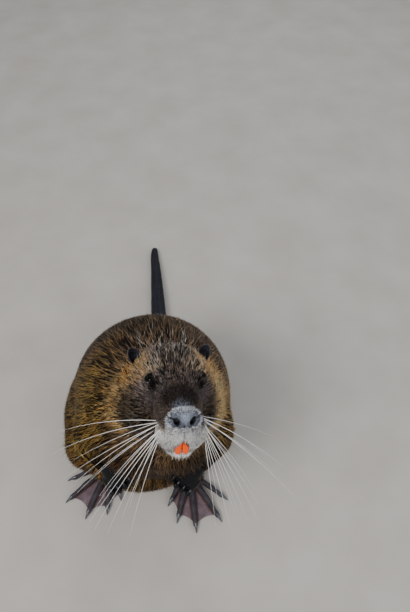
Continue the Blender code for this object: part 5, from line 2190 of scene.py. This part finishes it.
@dataclass
class Whiskers:
    """The stiff whiskers of one side, in rows on the pad of the upper lip."""

    side: Side
    finishes: Finishes
    strands: Strands
    rows: int = 5
    columns: int = 4
    seed: int = 31
    thick: float = 0.00035
    thin: float = 0.00006
    joints: int = 18
    dark_places: tuple = ((0, 0), (2, 3), (4, 3), (1, 1), (4, 0))

    def build(self) -> None:
        """Makes the white whiskers, and the few short dark ones among them."""
        s = self.side.value
        rng = np.random.default_rng(self.seed + int(s))
        lines, girths = {False: [], True: []}, {False: [], True: []}
        for row in range(self.rows):
            for column in range(self.columns):
                u, v = row / (self.rows - 1), column / (self.columns - 1)
                place = (0.0262 + 0.0022 * v - 0.003 * u, 0.0115 + 0.02 * v, -0.0095 - 0.0145 * u)
                root = HEAD.at(s * place[0], place[1], place[2])
                spread = math.radians(54 - 4 * s - 48 * u + 24 * v + rng.normal(0, 4.5))
                ahead = -0.2 + 0.5 * v + rng.normal(0, 0.06)
                way = HEAD.turn @ unit(np.array((s * math.sin(spread), ahead, -math.cos(spread))))
                length = (0.122 - 0.02 * u - 0.018 * abs(v - 0.45)) * rng.uniform(0.86, 1.04)
                dark = (row, column) in self.dark_places
                if dark:
                    length *= 0.55
                tip = root + way * length + (0, 0, -(0.34 + 0.08 * s) * length)
                tip[2] = max(tip[2], 0.012)
                line = arc(root - way * 0.0035, tip, (0, 0, rng.uniform(0.06, 0.13) * length), self.joints)
                t = np.linspace(0, 1, self.joints)
                girth = (self.thick + (self.thin - self.thick) * t ** 0.9) * (0.62 if dark else rng.uniform(0.8, 1.05))
                lines[dark].append(line)
                girths[dark].append(girth)
        made = self.strands.build(f"whisker_hairs_{self.side.label}", lines[False], girths[False], 7,
                                  self.finishes.whisker)
        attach(made, "root")
        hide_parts(f"whiskers_{self.side.label}")
        fine = self.strands.build(f"fine_whiskers_{self.side.label}", lines[True], girths[True], 6,
                                  self.finishes.dark_whisker)
        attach(fine, "root")


# ---------------- the studio

@dataclass
class Studio:
    """Pale floor, soft light and the camera."""

    finishes: Finishes
    floor_half: float = 6.0
    sky: tuple = (0.93, 0.96, 1.0, 1)
    sky_strength: float = 0.52
    aim: tuple = (0.02, -0.09, 0.2)
    lights: tuple = (("key", (-0.9, -1.0, 1.9), 1.0, 36.0, (1.0, 0.98, 0.95)),
                     ("fill", (1.5, -0.9, 1.3), 1.6, 15.0, (0.95, 0.97, 1.0)),
                     ("rear", (0.4, 1.6, 1.5), 1.4, 10.0, (1.0, 1.0, 1.0)))
    camera_place: tuple = (0.0902, -0.376, 0.8407)
    camera_down: float = math.radians(55.0)
    lens: float = 28.235
    sensor: float = 36.0

    def floor(self) -> None:
        """A wide flat floor under the animal."""
        h = self.floor_half
        made = mesh_from("studio_floor", np.array([(-h, -h, 0), (h, -h, 0), (h, h, 0), (-h, h, 0)]), [(0, 1, 2, 3)])
        made.data.materials.append(self.finishes.floor)

    def light(self, name: str, place: tuple, size: float, power: float, tint: tuple) -> None:
        """One soft area light that looks at the animal.

        Args:
            name: the lamp's name.
            place: where it hangs.
            size: its width.
            power: its watts.
            tint: its colour.
        """
        lamp = bpy.data.lights.new(name, "AREA")
        lamp.size, lamp.energy, lamp.color = size, power, tint
        made = placed(name, lamp)
        made.location = place
        made.rotation_euler = (Vector(self.aim) - Vector(place)).to_track_quat("-Z", "Y").to_euler()

    def build(self) -> None:
        """Sets up the floor, lights and camera."""
        self.floor()
        world = bpy.data.worlds.new("soft_sky")
        world.use_nodes = True
        back = world.node_tree.nodes["Background"]
        back.inputs["Color"].default_value = self.sky
        back.inputs["Strength"].default_value = self.sky_strength
        bpy.context.scene.world = world
        for light in self.lights:
            self.light(*light)
        camera = bpy.data.cameras.new("camera")
        camera.lens, camera.sensor_width, camera.sensor_fit = self.lens, self.sensor, "AUTO"
        camera.clip_start = 0.01
        made = placed("camera", camera)
        made.location = self.camera_place
        made.rotation_euler = (math.pi / 2 - self.camera_down, 0, 0)
        bpy.context.scene.camera = made


def main() -> None:
    """Builds the animal piece by piece, then the studio."""
    finishes, strands = Finishes(), Strands()
    form, eye_place = BodyForm(), EyePlace()
    skin = Skin(form, eye_place, finishes)
    skin.build()
    Coat(skin, form, finishes).build()
    for side in Side:
        HindFoot(side, form, finishes, strands).build()
        Forepaw(side, form, finishes, strands).build()
        Ear(side, finishes).build()
        Eye(side, eye_place, finishes).build()
        Whiskers(side, finishes, strands).build()
    NosePad(finishes).build()
    Incisors(finishes).build()
    Tail(finishes).build()
    Studio(finishes).build()


if __name__ == "__main__":
    main()
